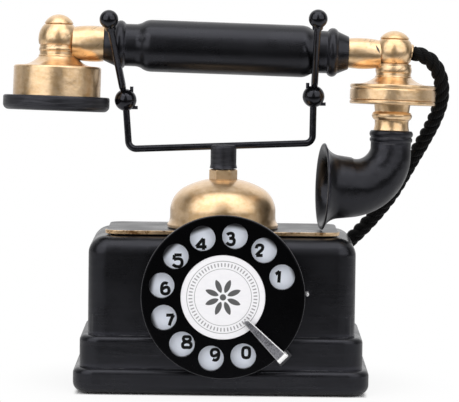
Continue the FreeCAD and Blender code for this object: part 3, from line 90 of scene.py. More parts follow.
camera_data = bpy.data.cameras.new("front_camera")
camera_data.sensor_width = SENSOR_WIDTH
camera_data.lens = CAMERA_DISTANCE / PIXEL_SIZE / IMAGE_WIDTH * SENSOR_WIDTH
camera = bpy.data.objects.new("front_camera", camera_data)
scene.collection.objects.link(camera)
away = Vector((0, -math.cos(CAMERA_RISE), math.sin(CAMERA_RISE)))
camera.location = CAMERA_TARGET + away * CAMERA_DISTANCE
level = (-away).to_track_quat("-Z", "Y")
camera.rotation_euler = (level @ Quaternion((0, 0, 1), CAMERA_ROLL)).to_euler()
scene.camera = camera
print("lens of", round(camera_data.lens, 1), "mm")

# %% [markdown]
# The cord is three black cotton strands laid round each other. It leaves the gland at the transmitter's
# arm, hangs round the right of the case and goes in through a grommet at the back. Its route is a smooth
# spline through a few listed points, and the strands follow points that are read back from that spline.

# %% The cord's route
# Corners of the route in millimetres, from the handset to the case.
CORD_POINTS = [
    (97.352, -3.933, 174.22), (103.724, -3.992, 172.937), (109.2, -3, 167.8), (112.6, 0, 160),
    (113.4, 6, 150), (110.2, 13, 138.8), (104.8, 22, 127), (97.6, 31.8, 112.8), (90.2, 40.6, 98),
    (80.5, 48.3, 84.5), (70.5, 54.5, 73.2), (61, 61.5, 64.5), (52, 63.5, 57), (45.8, 58.5, 52.4),
    (44, 50.5, 51), (44, 43.5, 51),
]
ROUTE_STEPS = 24
SPLINE_ORDER = 3


def add_spline(line, corners):
    """Add a smooth spline to a curve, drawn by these corners."""
    spline = line.splines.new("NURBS")
    spline.points.add(len(corners) - 1)
    for point, corner in zip(spline.points, corners):
        point.co = (*corner, 1)
    spline.order_u = SPLINE_ORDER
    spline.use_endpoint_u = True


def mesh_of(line):
    """The mesh that a curve makes. The curve itself is removed."""
    holder = bpy.data.objects.new(line.name, line)
    scene.collection.objects.link(holder)
    bpy.context.view_layer.update()
    evaluated = holder.evaluated_get(bpy.context.evaluated_depsgraph_get())
    mesh = bpy.data.meshes.new_from_object(evaluated)
    bpy.data.objects.remove(holder)
    bpy.data.curves.remove(line)
    return mesh


cord_line = bpy.data.curves.new("route", "CURVE")
cord_line.dimensions = "3D"
cord_line.resolution_u = ROUTE_STEPS
add_spline(cord_line, [Vector(corner) * MM for corner in CORD_POINTS])
chain = mesh_of(cord_line)
route = [vertex.co.copy() for vertex in chain.vertices]
bpy.data.meshes.remove(chain)

# %% [markdown]
# Each strand is a small ring, pushed along the route by extruding it and setting it down again one step
# further on, turned a little each time. Every corner of its faces remembers how far along and how far round
# the strand it is, so that the finish can draw the fine yarns on it. Strands made as bevelled curves would
# lose that.

# %% The cord's three strands
CORD_RADIUS = 3.7 * MM
STRAND_RADIUS = 2.1 * MM
STRAND_OFFSET = 1.9 * MM
STRAND_SIDES = 16
STRANDS = 3
TWIST_PITCH = 16.5 * MM


def new_piece(name, mesh, body):
    """An object at the origin, which rides on a body of the telephone if one is named."""
    piece = bpy.data.objects.new(name, mesh)
    scene.collection.objects.link(piece)
    if body:
        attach(piece, body)
    return piece


def smooth_mesh(work, name):
    """A smooth mesh from work in progress, which is then let go."""
    for face in work.faces:
        face.smooth = True
    mesh = bpy.data.meshes.new(name)
    work.to_mesh(mesh)
    work.free()
    return mesh


def sort_faces(work):
    """Put the faces in an order that is the same each run, by the corners they join."""
    work.verts.index_update()
    count = len(work.verts)

    def rank(face):
        corners = [vertex.index for vertex in face.verts]
        return min(corners) * count + max(corners)

    work.faces.sort(key=rank)


def frames_along(points):
    """A place and two directions across the line at each point, with no twist of their own."""
    frames = []
    across = Vector((0, 1, 0))
    for i, point in enumerate(points):
        before = points[max(i - 1, 0)]
        after = points[min(i + 1, len(points) - 1)]
        ahead = (after - before).normalized()
        across = (across - ahead * across.dot(ahead)).normalized()
        frames.append((point, ahead, across, ahead.cross(across)))
    return frames


def strand_centres(frames, start_angle):
    """The middle of one strand as it winds round the route."""
    centres = []
    travelled = 0
    for i, (point, ahead, across, beside) in enumerate(frames):
        if i:
            travelled += (point - frames[i - 1][0]).length
        angle = start_angle + travelled / TWIST_PITCH * math.tau
        centres.append(point + (across * math.cos(angle) + beside * math.sin(angle)) * STRAND_OFFSET)
    return centres


def edges_round(ring):
    """The edges of a ring of vertices, each once and always in the same order."""
    return list(dict.fromkeys(edge for vertex in ring for edge in vertex.link_edges))


def add_strand(work, centres):
    """A round strand along these centres, with its own map of length and turn."""
    side_mark = work.verts.layers.int.get("side") or work.verts.layers.int.new("side")
    length_mark = work.verts.layers.float.get("length") or work.verts.layers.float.new("length")
    ring = bmesh.ops.create_circle(work, segments=STRAND_SIDES, radius=STRAND_RADIUS)["verts"]
    for side, vertex in enumerate(ring):
        vertex[side_mark] = side
    flat = [vertex.co.copy() for vertex in ring]
    edges = edges_round(ring)
    travelled = 0
    for i, (centre, ahead, across, beside) in enumerate(frames_along(centres)):
        if i:
            travelled += (centre - centres[i - 1]).length
            made = bmesh.ops.extrude_edge_only(work, edges=edges)["geom"]
            ring = [item for item in made if isinstance(item, bmesh.types.BMVert)]
            edges = [item for item in made if isinstance(item, bmesh.types.BMEdge)]
        for vertex in ring:
            home = flat[vertex[side_mark]]
            vertex.co = centre + across * home.x + beside * home.y
            vertex[length_mark] = travelled


def map_strands(work):
    """Write how far along and how far round each corner lies into a UV map."""
    side_mark = work.verts.layers.int["side"]
    length_mark = work.verts.layers.float["length"]
    uv = work.loops.layers.uv.new("strand")
    for face in work.faces:
        sides = [loop.vert[side_mark] for loop in face.loops]
        wraps = max(sides) - min(sides) > STRAND_SIDES / 2
        for loop, side in zip(face.loops, sides):
            turned = STRAND_SIDES if wraps and side == 0 else side
            loop[uv].uv = (loop.vert[length_mark] / CORD_RADIUS, turned / STRAND_SIDES)


strand_work = bmesh.new()
route_frames = frames_along(route)
for strand in range(STRANDS):
    add_strand(strand_work, strand_centres(route_frames, strand / STRANDS * math.tau))
map_strands(strand_work)
bmesh.ops.holes_fill(strand_work, edges=strand_work.edges, sides=STRAND_SIDES)
bmesh.ops.recalc_face_normals(strand_work, faces=strand_work.faces)
sort_faces(strand_work)
rope_mesh = smooth_mesh(strand_work, "handset_rope")
rope = new_piece("handset_rope", rope_mesh, None)
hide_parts("handset_cord")
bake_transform(rope, "base", "handset", start=tuple(route[-1]), end=tuple(route[0]))
print("rope with", len(rope_mesh.polygons), "faces")

# %% [markdown]
# A finish is a tree of shader nodes. Two small classes keep it readable. A Wire is one output of a node,
# and sums on wires add the Math nodes for them. A Tree adds any other node in one call: its type, its
# settings, and what goes into its sockets.

# %% Wires and trees
class Wire:
    """One output of a node, which can stand in a sum."""

    def __init__(self, tree, socket):
        self.tree = tree
        self.socket = socket

    def math(self, operation, *others):
        """This wire, and any others, through one Math node."""
        return self.tree.math(operation, self, *others)

    def __add__(self, other):
        return self.math("ADD", other)

    def __radd__(self, other):
        return self.tree.math("ADD", other, self)

    def __sub__(self, other):
        return self.math("SUBTRACT", other)

    def __rsub__(self, other):
        return self.tree.math("SUBTRACT", other, self)

    def __mul__(self, other):
        return self.math("MULTIPLY", other)

    def __rmul__(self, other):
        return self.tree.math("MULTIPLY", other, self)

    def __truediv__(self, other):
        return self.math("DIVIDE", other)

    def __rtruediv__(self, other):
        return self.tree.math("DIVIDE", other, self)

    def __pow__(self, other):
        return self.math("POWER", other)

    def __rpow__(self, other):
        return self.tree.math("POWER", other, self)

    def __abs__(self):
        return self.math("ABSOLUTE")


class Tree:
    """A node tree that grows one call at a time."""

    def __init__(self, tree, shader):
        self.tree = tree
        self.shader = tree.nodes[shader]

    def node(self, kind, settings=None, inputs=None, output=0):
        """A new node of this kind, as the wire of one of its outputs."""
        made = self.tree.nodes.new(kind)
        for name, value in (settings or {}).items():
            setattr(made, name, value)
        for name, value in (inputs or {}).items():
            self.feed(made.inputs[name], value)
        return Wire(self, made.outputs[output])

    def feed(self, socket, value):
        """Link a wire to a socket, or set the socket to a plain value."""
        if isinstance(value, Wire):
            self.tree.links.new(value.socket, socket)
        else:
            socket.default_value = value

    def shade(self, inputs):
        """Feed the sockets of the shader itself."""
        for name, value in inputs.items():
            self.feed(self.shader.inputs[name], value)

    def math(self, operation, *values):
        """Wires and plain values through one Math node."""
        return self.node("ShaderNodeMath", {"operation": operation}, dict(enumerate(values)))

    def between(self, value, low, high, first=0.0, last=1.0):
        """A soft step from the first level at low to the last at high."""
        return self.node("ShaderNodeMapRange", {"interpolation_type": "SMOOTHSTEP"}, {
            "Value": value, "From Min": low, "From Max": high, "To Min": first, "To Max": last,
        })

    def split(self, vector):
        """The three parts of a vector."""
        made = self.node("ShaderNodeSeparateXYZ", None, {"Vector": vector})
        return [Wire(self, socket) for socket in made.socket.node.outputs]

    def rays(self, *kinds):
        """For each kind of ray, 1 where the light path is of that kind."""
        made = self.node("ShaderNodeLightPath")
        return [Wire(self, made.socket.node.outputs[kind]) for kind in kinds]


# %% [markdown]
# Most finishes need the same few things: where a point is on the object, cloudy or streaky noise with a
# real grain size in millimetres, a blend of two colours, a line, a groove and a bump. A Finish is a
# material with these as short methods.

# %% Finishes
COLOUR_MIX = {"data_type": "RGBA"}
MIX_FIRST = 6
MIX_SECOND = 7
MIX_RESULT = 2
PROBE_SAMPLES = 8


class Finish(Tree):
    """A material built on one Principled shader."""

    def __init__(self, name):
        self.material = bpy.data.materials.new(name)
        self.material.use_nodes = True
        super().__init__(self.material.node_tree, "Principled BSDF")

    def place(self):
        """Where a point is on the object, in metres."""
        return self.node("ShaderNodeTexCoord", output="Object")

    def moved(self, vector, origin=(0, 0, 0), turn=(0, 0, 0), grain=(1, 1, 1)):
        """The vector from an origin in millimetres, turned in degrees, in grains of this size."""
        return self.node("ShaderNodeMapping", {"vector_type": "TEXTURE"}, {
            "Vector": vector,
            "Location": Vector(origin) * MM,
            "Rotation": [math.radians(angle) for angle in turn],
            "Scale": Vector(grain) * MM,
        })

    def noise(self, vector, grain, detail=3.0, rough=0.5, bend=0.0, turn=(0, 0, 0)):
        """Cloudy noise whose grains have this size in millimetres along each axis."""
        sized = self.moved(vector, turn=turn, grain=grain)
        return self.node("ShaderNodeTexNoise", None, {
            "Vector": sized, "Scale": 1.0, "Detail": detail, "Roughness": rough, "Distortion": bend,
        })

    def line(self, value, centre, half, soft):
        """1 on a band of this half width about a centre, with soft edges."""
        return 1 - self.between(abs(value - centre), half, half + soft)

    def mix(self, share, first, second):
        """A blend of two colours: the first at 0, the second at 1."""
        sockets = {0: share, MIX_FIRST: first, MIX_SECOND: second}
        return self.node("ShaderNodeMix", COLOUR_MIX, sockets, MIX_RESULT)

    def crevice(self, reach):
        """1 deep in grooves and corners, 0 on open surface."""
        probe = {"samples": PROBE_SAMPLES}
        return 1 - self.node("ShaderNodeAmbientOcclusion", probe, {"Distance": reach * MM}, "AO")

    def bump(self, height, depth):
        """Relief of this depth in millimetres."""
        return self.node("ShaderNodeBump", None, {"Height": height, "Distance": depth * MM}, "Normal")


def grey(level, tint=0.0):
    """A grey of this level, with a touch of blue."""
    return (level, level, level * (1 + tint), 1)


print("finish tools ready")

# %% [markdown]
# The case, the cradle, the handle and the horn are brush-painted in satin black. Up close such paint isn't
# one black: the brush leaves faint streaks, the gloss comes and goes, a cold painted sheen, standing for
# reflected light, lies along rounded borders, and the ledges and corners wear to a dusty grey in broken
# lines. The dial's wheel and its mount are plain and dark, with only a thin painted highlight line round
# the wheel's rim.

# %% Black paint
DIAL_X = 0.7
DIAL_Z = 51.4
# The first grey is the wear on edges, and also the painted highlight round the wheel's rim. The second is a
# cold painted sheen along rounded borders, standing for reflected light.
WEAR_AND_HIGHLIGHT_GREY = grey(0.11, 0.06)
PAINTED_SHEEN_GREY = grey(0.03, 0.25)
COLD_SHEEN = (0.86, 0.87, 1.0, 1)
EDGE_SPAN = (0.008, 0.1)
SHEEN_REACH = 6.0
WEAR_REACH = 0.9
RIM_SOFT = 0.2


def edge_mask(finish, radius):
    """1 along edges and corners, where the normal of a rounded copy leaves the true one."""
    round_normal = finish.node("ShaderNodeBevel", {"samples": PROBE_SAMPLES}, {"Radius": radius * MM})
    true_normal = finish.node("ShaderNodeNewGeometry", output="Normal")
    sockets = {0: round_normal, 1: true_normal}
    facing = finish.node("ShaderNodeVectorMath", {"operation": "DOT_PRODUCT"}, sockets, "Value")
    return finish.between(1 - facing, *EDGE_SPAN)


def from_dial(finish, place):
    """Distance from the dial's axis in millimetres, and the two parts of it, across and up."""
    across, ahead, up = finish.split(finish.moved(place, origin=(DIAL_X, 0, DIAL_Z)))
    return (across * across + up * up) ** 0.5, across, up


def black_paint(
    name, streaks, level=0.002, lift=0.006, gloss=(0.36, 0.25), wear_and_sheen=0.7, lumps=0.35, shine=0.5, rim=None,
):
    """Black paint with streaks, varied gloss, edge wear and painted sheen, or a painted rim highlight."""
    finish = Finish(name)
    place = finish.place()
    brushed = finish.noise(place, streaks, detail=5, rough=0.6, bend=0.4)
    cloudy = finish.noise(place, (19, 19, 19), detail=4)
    lumpy = finish.noise(place, (13, 13, 13), detail=2)
    orange_peel = finish.noise(place, (0.9, 0.9, 0.9), detail=2)
    streaky = finish.between(brushed, 0.42, 0.72)
    painted = finish.mix(streaky * cloudy, grey(level, 0.1), grey(level + lift, 0.1))
    # Round a rim, a thin painted highlight line. Elsewhere a painted sheen along rounded borders, and wear
    # in broken lines on edges and corners.
    if rim:
        distance, across, up = from_dial(finish, place)
        painted_sheen = 0.0
        wear_and_rim_highlight = finish.between(distance, rim, rim + RIM_SOFT) * wear_and_sheen
    else:
        painted_sheen = edge_mask(finish, SHEEN_REACH) * finish.between(brushed, 0.3, 0.6) * wear_and_sheen
        broken = finish.noise(place, (7, 7, 2), detail=4)
        wear_and_rim_highlight = edge_mask(finish, WEAR_REACH) * finish.between(broken, 0.45, 0.62) * wear_and_sheen
    glossy = finish.between(cloudy + brushed * 0.5, 0.55, 0.95)
    relief = lumpy * lumps + brushed * 0.07 + orange_peel * 0.012
    low_gloss, high_gloss = gloss
    finish.shade({
        "Base Color": finish.mix(wear_and_rim_highlight, finish.mix(painted_sheen, painted, PAINTED_SHEEN_GREY), WEAR_AND_HIGHLIGHT_GREY),
        "Roughness": low_gloss - (low_gloss - high_gloss) * glossy,
        "Normal": finish.bump(relief, 1.0),
        "Specular IOR Level": shine,
        "Specular Tint": COLD_SHEEN,
    })
    return finish.material


case_black = black_paint("case_black", streaks=(38, 38, 2.2), shine=0.45)
wire_black = black_paint(
    "wire_black", streaks=(6, 6, 6), lift=0.003, gloss=(0.2, 0.12), wear_and_sheen=0.4, lumps=0.1,
)
horn_black = black_paint(
    "horn_black", streaks=(9, 9, 9), level=0.0012, lift=0.004, gloss=(0.37, 0.25), lumps=0.75, shine=0.42,
)
handle_black = black_paint(
    "handle_black", streaks=(42, 2.4, 2.4), level=0.0015, gloss=(0.35, 0.24), lumps=0.22,
)
dusty_black = black_paint(
    "dusty_black", streaks=(12, 12, 0.9), level=0.006, lift=0.05, gloss=(0.46, 0.34), lumps=0.2,
)
wheel_black = black_paint(
    "wheel_black", streaks=(3, 30, 3), level=0.001, lift=0.001, gloss=(0.3, 0.24), wear_and_sheen=0.6, lumps=0.03,
    shine=0.07, rim=41.1,
)
blacks = [case_black, wire_black, horn_black, handle_black, dusty_black, wheel_black]
print("black paints:", [paint.name for paint in blacks])

# %% [markdown]
# The gong and the metal of the handset are painted gold by hand. The paint lies a little lumpy, so
# reflections wobble in it. It is mottled where the brush was lifted, a few slanting brush marks show in
# patches, and a brown glaze stays in the grooves. Cloudy noise gives the mottling, noise squeezed across a
# turned axis the marks, and an occlusion node finds the grooves. The transmitter's arm has a dark
# leaf-shaped mark on its front.

# %% Gold paint
GOLD_LIGHT = (0.95, 0.68, 0.41, 1)
GOLD_DEEP = (0.84, 0.555, 0.285, 1)
GLAZE_BROWN = (0.20, 0.095, 0.028, 1)
GROOVE_REACH = 2.2
# A dark leaf-shaped mark on the front of the transmitter's arm: its middle, lean, half length, half width
# and soft edge in millimetres, how far in front it lies, and its colour.
LEAF_MARK_MIDDLE = (78.8, 0, 176.1)
LEAF_MARK_LEAN = (0, -27, 0)
LEAF_MARK_LONG = 2.6
LEAF_MARK_WIDE = 0.6
LEAF_MARK_SOFT = 0.2
LEAF_MARK_FRONT = (-4.5, -5.5)
LEAF_MARK_DARK = grey(0.004)


def dark_leaf_mark(finish, place):
    """1 inside a dark leaf-shaped mark on the front of the transmitter's arm."""
    across, ahead, along = finish.split(finish.moved(place, origin=LEAF_MARK_MIDDLE, turn=LEAF_MARK_LEAN))
    inside = LEAF_MARK_WIDE * (1 - (along / LEAF_MARK_LONG) ** 2) - abs(across)
    return finish.between(inside, 0.0, LEAF_MARK_SOFT) * finish.between(ahead, *LEAF_MARK_FRONT)


def gold_paint(name, slant=(0, 35, 0), marks=0.2, glaze=0.0, lumps=0.2, gloss=0.25, leaf_marked=False):
    """Gold paint with slanting marks, brown glaze, lumps, a gloss and perhaps the dark leaf mark."""
    finish = Finish(name)
    place = finish.place()
    mottled = finish.noise(place, (2.6, 2.6, 2.0), detail=4, rough=0.55)
    patchy = finish.noise(place, (8, 8, 6), detail=2)
    hatched = finish.noise(place, (6, 6, 0.8), detail=3, rough=0.55, bend=0.3, turn=slant)
    lumpy = finish.noise(place, (6, 6, 4.5), detail=2)
    grain = finish.noise(place, (0.5, 0.5, 0.5), detail=2)
    gold = finish.mix(finish.between(mottled * 0.6 + patchy * 0.4, 0.36, 0.62), GOLD_DEEP, GOLD_LIGHT)
    groove = finish.between(finish.crevice(GROOVE_REACH), 0.5, 0.92)
    mark = finish.between(hatched, 0.46, 0.34) * finish.between(patchy, 0.46, 0.6)
    stain = finish.between(mottled * 0.5 + patchy * 0.5, 0.5, 0.36)
    brown = finish.between(groove * 0.7 + mark * marks + stain * glaze, 0.0, 1.0)
    leaf_mark = dark_leaf_mark(finish, place) if leaf_marked else 0.0
    finish.shade({
        "Base Color": finish.mix(leaf_mark, finish.mix(brown, gold, GLAZE_BROWN), LEAF_MARK_DARK),
        "Metallic": (0.95 - brown * 0.4) * (1.0 - leaf_mark),
        "Roughness": gloss + patchy * 0.14,
        "Coat Weight": 0.7,
        "Coat Roughness": 0.15,
        "Normal": finish.bump(lumpy * lumps + mottled * 0.05 + hatched * 0.03 + grain * 0.01, 1.0),
    })
    return finish.material


gilt_upright = gold_paint("gilt_upright")
gilt_sideways = gold_paint("gilt_sideways", slant=(0, -40, 0), marks=0.5)
gilt_leaf_marked = gold_paint("gilt_leaf_marked", slant=(0, -40, 0), marks=0.5, leaf_marked=True)
gilt_smooth = gold_paint("gilt_smooth", marks=0.0, lumps=0.04, gloss=0.28)
gilt_worn = gold_paint("gilt_worn", glaze=1.1, lumps=0.5)
golds = [gilt_upright, gilt_sideways, gilt_leaf_marked, gilt_smooth, gilt_worn]
print("gold paints:", [paint.name for paint in golds])

# %% [markdown]
# The number plate is pale enamel with the wheel's shadow painted onto it, darker towards its outer edge
# and more so at the top left. The centre card is printed paper: two thin rings, a band of ticks between
# them and a plain rosette of eight leaves, worked out from the distance and the angle round the dial's
# middle.

# %% Enamel and printed card
CARD_LINES = (18.3, 14.4)
TICKS = 60
LEAVES = 8
LEAF_INNER = 2.4
LEAF_OUTER = 9.6
LEAF_HALF = 1.5
TICK_MIDDLE = 16.4
TICK_HALF = 0.85
EYE_EDGE = (1.5, 1.7)
RING_INK = 0.75
TICK_INK = 0.7
ROSETTE_INK = 0.93
# Where the painted shadow of the wheel falls on the plate, in millimetres from the dial's middle, and how it
# leans towards the top left.
WHEEL_SHADOW_REACH = (35.9, 38.6)
WHEEL_SHADOW_LEAN = (-0.02, 0.045)


def number_enamel():
    """Pale enamel, with the wheel's shadow painted dark round its outer edge."""
    finish = Finish("number_enamel")
    place = finish.place()
    cloudy = finish.noise(place, (8, 8, 8), detail=4)
    white = finish.mix(cloudy, (0.80, 0.85, 0.97, 1), (0.88, 0.92, 1.0, 1))
    distance, across, up = from_dial(finish, place)
    # The wheel's shadow is painted in: dark towards the plate's outer edge, reaching further in at the top
    # left.
    shadow_lean = across * WHEEL_SHADOW_LEAN[0] + up * WHEEL_SHADOW_LEAN[1]
    painted_wheel_shadow = finish.between(distance + shadow_lean + cloudy * 0.6, *WHEEL_SHADOW_REACH)
    finish.shade({
        "Base Color": finish.mix(painted_wheel_shadow, white, grey(0.03, 0.2)),
        "Roughness": 0.3 + cloudy * 0.15,
        "Normal": finish.bump(finish.noise(place, (1.5, 1.5, 1.5)), 0.02),
    })
    return finish.material


def printed_card():
    """White card with its rings, ticks and rosette in dark ink."""
    finish = Finish("printed_card")
    place = finish.place()
    distance, across, up = from_dial(finish, place)
    angle = up.math("ARCTAN2", across)
    outer_line = finish.line(distance, CARD_LINES[0], 0.1, 0.12)
    inner_line = finish.line(distance, CARD_LINES[1], 0.08, 0.1)
    ink = outer_line.math("MAXIMUM", inner_line)
    tick_turn = (angle * (TICKS / math.tau)).math("FRACT")
    tick = finish.line(tick_turn, 0.5, 0.14, 0.1) * finish.line(distance, TICK_MIDDLE, TICK_HALF, 0.2)
    leaf_step = math.tau / LEAVES
    leaf_turn = ((angle / leaf_step).math("FRACT") - 0.5) * leaf_step
    leaf_place = (distance - LEAF_INNER) / (LEAF_OUTER - LEAF_INNER)
    leaf_width = (leaf_place * (1 - leaf_place) * 4).math("MAXIMUM", 0.0)
    leaf_reach = abs(leaf_turn) * distance / LEAF_HALF
    leaf = finish.between(leaf_width ** 0.7 - leaf_reach, 0.0, 0.14)
    eye = 1 - finish.between(distance, *EYE_EDGE)
    ornament = leaf.math("MAXIMUM", eye)
    fibres = finish.noise(place, (2.5, 2.5, 0.7), detail=4)
    paper = finish.mix(fibres, (0.80, 0.79, 0.82, 1), (0.88, 0.87, 0.89, 1))
    ringed = finish.mix(ink * RING_INK, paper, grey(0.06))
    ticked = finish.mix(tick * TICK_INK, ringed, grey(0.09))
    finish.shade({
        "Base Color": finish.mix(ornament * ROSETTE_INK, ticked, grey(0.03)),
        "Roughness": 0.42 + fibres * 0.2,
        "Normal": finish.bump(fibres, 0.02),
    })
    return finish.material


enamel = number_enamel()
card_print = printed_card()
print("dial face:", enamel.name, card_print.name)

# %% [markdown]
# The small fittings are plain steel, ground along their length. The finger stop has a grainy, darker face,
# with white painted highlights on its edges, stronger on the side towards the upper right, and on its end
# past the bend. The works inside are brass, dark spring steel, varnished windings, board and waxed card,
# and the foot is felt. Each gets its own grain and gloss.

# %% Metals and the works
# Reach of the painted highlights on the stop's edges, and where the one past its bend fades in, in
# millimetres.
STOP_EDGE = 1.5
STOP_BEND = (41.4, 42.2)


def ground_metal(name, dark, light, grind, low_gloss=0.38, high_gloss=0.22, turn=(0, 0, 0)):
    """Bare metal between two colours, with grinding marks of this grain."""
    finish = Finish(name)
    place = finish.place()
    ground = finish.noise(place, grind, detail=4, rough=0.65, turn=turn)
    cloudy = finish.noise(place, (7, 7, 7), detail=3)
    finish.shade({
        "Base Color": finish.mix(finish.between(ground * 0.6 + cloudy * 0.4, 0.3, 0.7), dark, light),
        "Metallic": 1.0,
        "Roughness": low_gloss - cloudy * (low_gloss - high_gloss),
        "Normal": finish.bump(ground, 0.03),
    })
    return finish.material


def stop_steel():
    """The finger stop's grainy steel, with painted highlights on its edges and past its bend."""
    finish = Finish("stop_steel")
    place = finish.place()
    distance, across, up = from_dial(finish, place)
    cloudy = finish.noise(place, (5, 5, 5), detail=4)
    grainy = finish.noise(place, (0.7, 0.7, 0.7), detail=3)
    speckled = finish.between(cloudy * 0.45 + grainy * 0.55, 0.38, 0.62)
    # Painted highlights: white on the edges, fully on the side towards the upper right and a quarter as
    # strong on the other, and white on the end past the bend.
    lit_side = finish.between(across + up, -0.5, 0.5) * 0.75 + 0.25
    edge = edge_mask(finish, STOP_EDGE) * lit_side
    bend = finish.between(distance, *STOP_BEND)
    painted_highlight = edge.math("MAXIMUM", bend)
    face = finish.mix(speckled, grey(0.1, 0.12), grey(0.42, 0.08))
    finish.shade({
        "Base Color": finish.mix(painted_highlight, face, grey(1.0)),
        "Metallic": 1.0 - painted_highlight,
        "Roughness": 0.42 - cloudy * 0.14,
        "Normal": finish.bump(grainy, 0.03),
    })
    return finish.material


def dull_stuff(name, dark, light, grain, rough, relief):
    """Matt stuff between two colours, with fibres of this grain."""
    finish = Finish(name)
    place = finish.place()
    fibres = finish.noise(place, grain, detail=5, rough=0.65)
    cloudy = finish.noise(place, (11, 11, 11), detail=3)
    finish.shade({
        "Base Color": finish.mix(finish.between(fibres * 0.6 + cloudy * 0.4, 0.3, 0.7), dark, light),
        "Roughness": rough + cloudy * 0.12,
        "Normal": finish.bump(fibres, relief),
    })
    return finish.material


def varnished_winding():
    """Fine turns of wire under brown varnish."""
    finish = Finish("varnished_winding")
    place = finish.place()
    turns = finish.node("ShaderNodeTexWave", {"bands_direction": "DIAGONAL"}, {
        "Vector": finish.moved(place, grain=(1.1, 1.1, 1.1)), "Scale": 1.0, "Distortion": 0.6,
    })
    finish.shade({
        "Base Color": finish.mix(turns, (0.12, 0.03, 0.012, 1), (0.34, 0.12, 0.045, 1)),
        "Roughness": 0.3 + turns * 0.15,
        "Normal": finish.bump(turns, 0.1),
    })
    return finish.material


steel = ground_metal("ground_steel", grey(0.5, 0.04), grey(0.72, 0.03), (9, 9, 0.7), turn=(0, 45, 0))
bright_steel = ground_metal(
    "bright_steel", grey(0.86, 0.02), grey(0.95, 0.02), (3, 3, 3), low_gloss=0.5, high_gloss=0.42,
)
spring_steel = ground_metal("spring_steel", grey(0.2, 0.05), grey(0.36, 0.05), (5, 5, 1))
works_brass = ground_metal("works_brass", (0.48, 0.33, 0.12, 1), (0.72, 0.55, 0.24, 1), (8, 1, 8))
rubber = dull_stuff(
    "moulded_rubber", grey(0.012), grey(0.024), grain=(0.6, 0.6, 0.6), rough=0.6, relief=0.04,
)
board = dull_stuff(
    "brown_board", (0.04, 0.02, 0.01, 1), (0.09, 0.05, 0.027, 1), grain=(6, 0.5, 0.5), rough=0.45,
    relief=0.03,
)
felt = dull_stuff(
    "dark_felt", (0.018, 0.045, 0.032, 1), (0.045, 0.095, 0.07, 1), grain=(0.5, 0.5, 0.5), rough=0.85,
    relief=0.25,
)
waxed_card = dull_stuff(
    "waxed_card", (0.27, 0.19, 0.1, 1), (0.42, 0.32, 0.19, 1), grain=(4, 4, 0.8), rough=0.4, relief=0.04,
)
winding = varnished_winding()
works = [steel, bright_steel, spring_steel, works_brass, rubber, board, felt, waxed_card, winding]
print("metals and works:", [stuff.name for stuff in works])

# %% [markdown]
# The cord's strands are spun from fine black cotton yarns. The yarns wind round each strand, so a stripe
# that runs slanting across the strand's own map of length and turn gives them, with loose fibres as noise
# on top.

# %% Cotton yarn
YARNS = 9
YARN_SLANT = 2.6


def cotton_yarn():
    """Black yarns that wind round a strand, with loose fibres."""
    finish = Finish("cotton_yarn")
    along, turned, spare = finish.split(finish.node("ShaderNodeUVMap", {"uv_map": "strand"}))
    phase = (turned * YARNS + along * YARN_SLANT) * math.tau
    ridge = (phase.math("SINE") + 1) * 0.5
    fibres = finish.noise(finish.place(), (0.35, 0.35, 0.35), detail=4, rough=0.7)
    # The yarns' ridges are coloured a little lighter as a painted highlight, with the fibres' own tone mixed
    # in.
    lit = finish.between(ridge * 0.6 + fibres * 0.6, 0.3, 0.95)
    finish.shade({
        "Base Color": finish.mix(lit, grey(0.0005), grey(0.003, 0.05)),
        "Roughness": 0.75 - lit * 0.12,
        "Specular IOR Level": 0.15,
        "Normal": finish.bump(ridge * 0.7 + fibres * 0.5, 0.22),
        "Sheen Weight": 0.04,
        "Sheen Roughness": 0.4,
    })
    return finish.material


rope_mesh.materials.append(cotton_yarn())
print("cord finish on", rope.name)

# %% [markdown]
# A CAD mesh has knife-sharp edges, and nothing turned, cast or painted looks like that: a real edge is a
# little round and shows a thin line of light. So each piece that shows gets a merged copy with its sharp
# edges bevelled, which takes the node's place, while the node itself stays hidden for contact. Weighted
# normals keep the flats flat.

# %% Pieces with softened edges
MERGE_DISTANCE = 0.002 * MM
FLAT_ANGLE = math.radians(0.4)
SHARP_ANGLE = math.radians(32)
EDGE_SEGMENTS = 3

node_slot = {part["node"]: part["material_slot"] for part in frame["record"]["subparts"]}
bodies = frame["record"]["behaviour"]["bodies"]
node_body = {node: body for body, members in bodies.items() for node in members}

# Width of the rounded edges of each piece that shows, in millimetres.
SOFT_EDGES = {
    "housing": 0.5, "lid": 0.4, "lid_trim": 0.2, "dial_mount": 0.3, "number_plate": 0.15,
    "finger_wheel": 0.25, "centre_card": 0.1, "finger_stop": 0.5, "index_stud": 0.6, "gong": 0.35,
    "gong_nut": 0.3, "gong_pillar": 0.25, "cradle_frame": 0.2, "cradle_post": 0.3, "left_yoke": 0.2,
    "right_yoke": 0.2, "yoke_tips": 0.2, "cradle_balls": 0.2, "ball_pins": 0.12, "handle_grip": 0.4,
    "receiver_arm": 0.3, "receiver_shell": 0.35, "ear_cap": 0.5, "handset_gland": 0.25,
    "transmitter_arm": 0.3, "transmitter_case": 0.3, "transmitter_cover": 0.3, "horn_collar": 0.3,
    "handset_finials": 0.25, "mouth_horn": 0.4, "cord_grommet": 0.3, "line_inlet": 0.3, "base_plate": 0.2,
    "base_felt": 0.3, "base_screws": 0.2,
}

# Two pieces look broader than their solids. Each is stretched about its middle by a share, along an upright
# line that is turned by some degrees.
BROADER = {"finger_stop": (45, 1.35), "lid_trim": (0, 1.6)}


def is_sharp(edge):
    """An edge between two faces that meet at more than the sharp angle."""
    return len(edge.link_faces) == 2 and edge.calc_face_angle() > SHARP_ANGLE


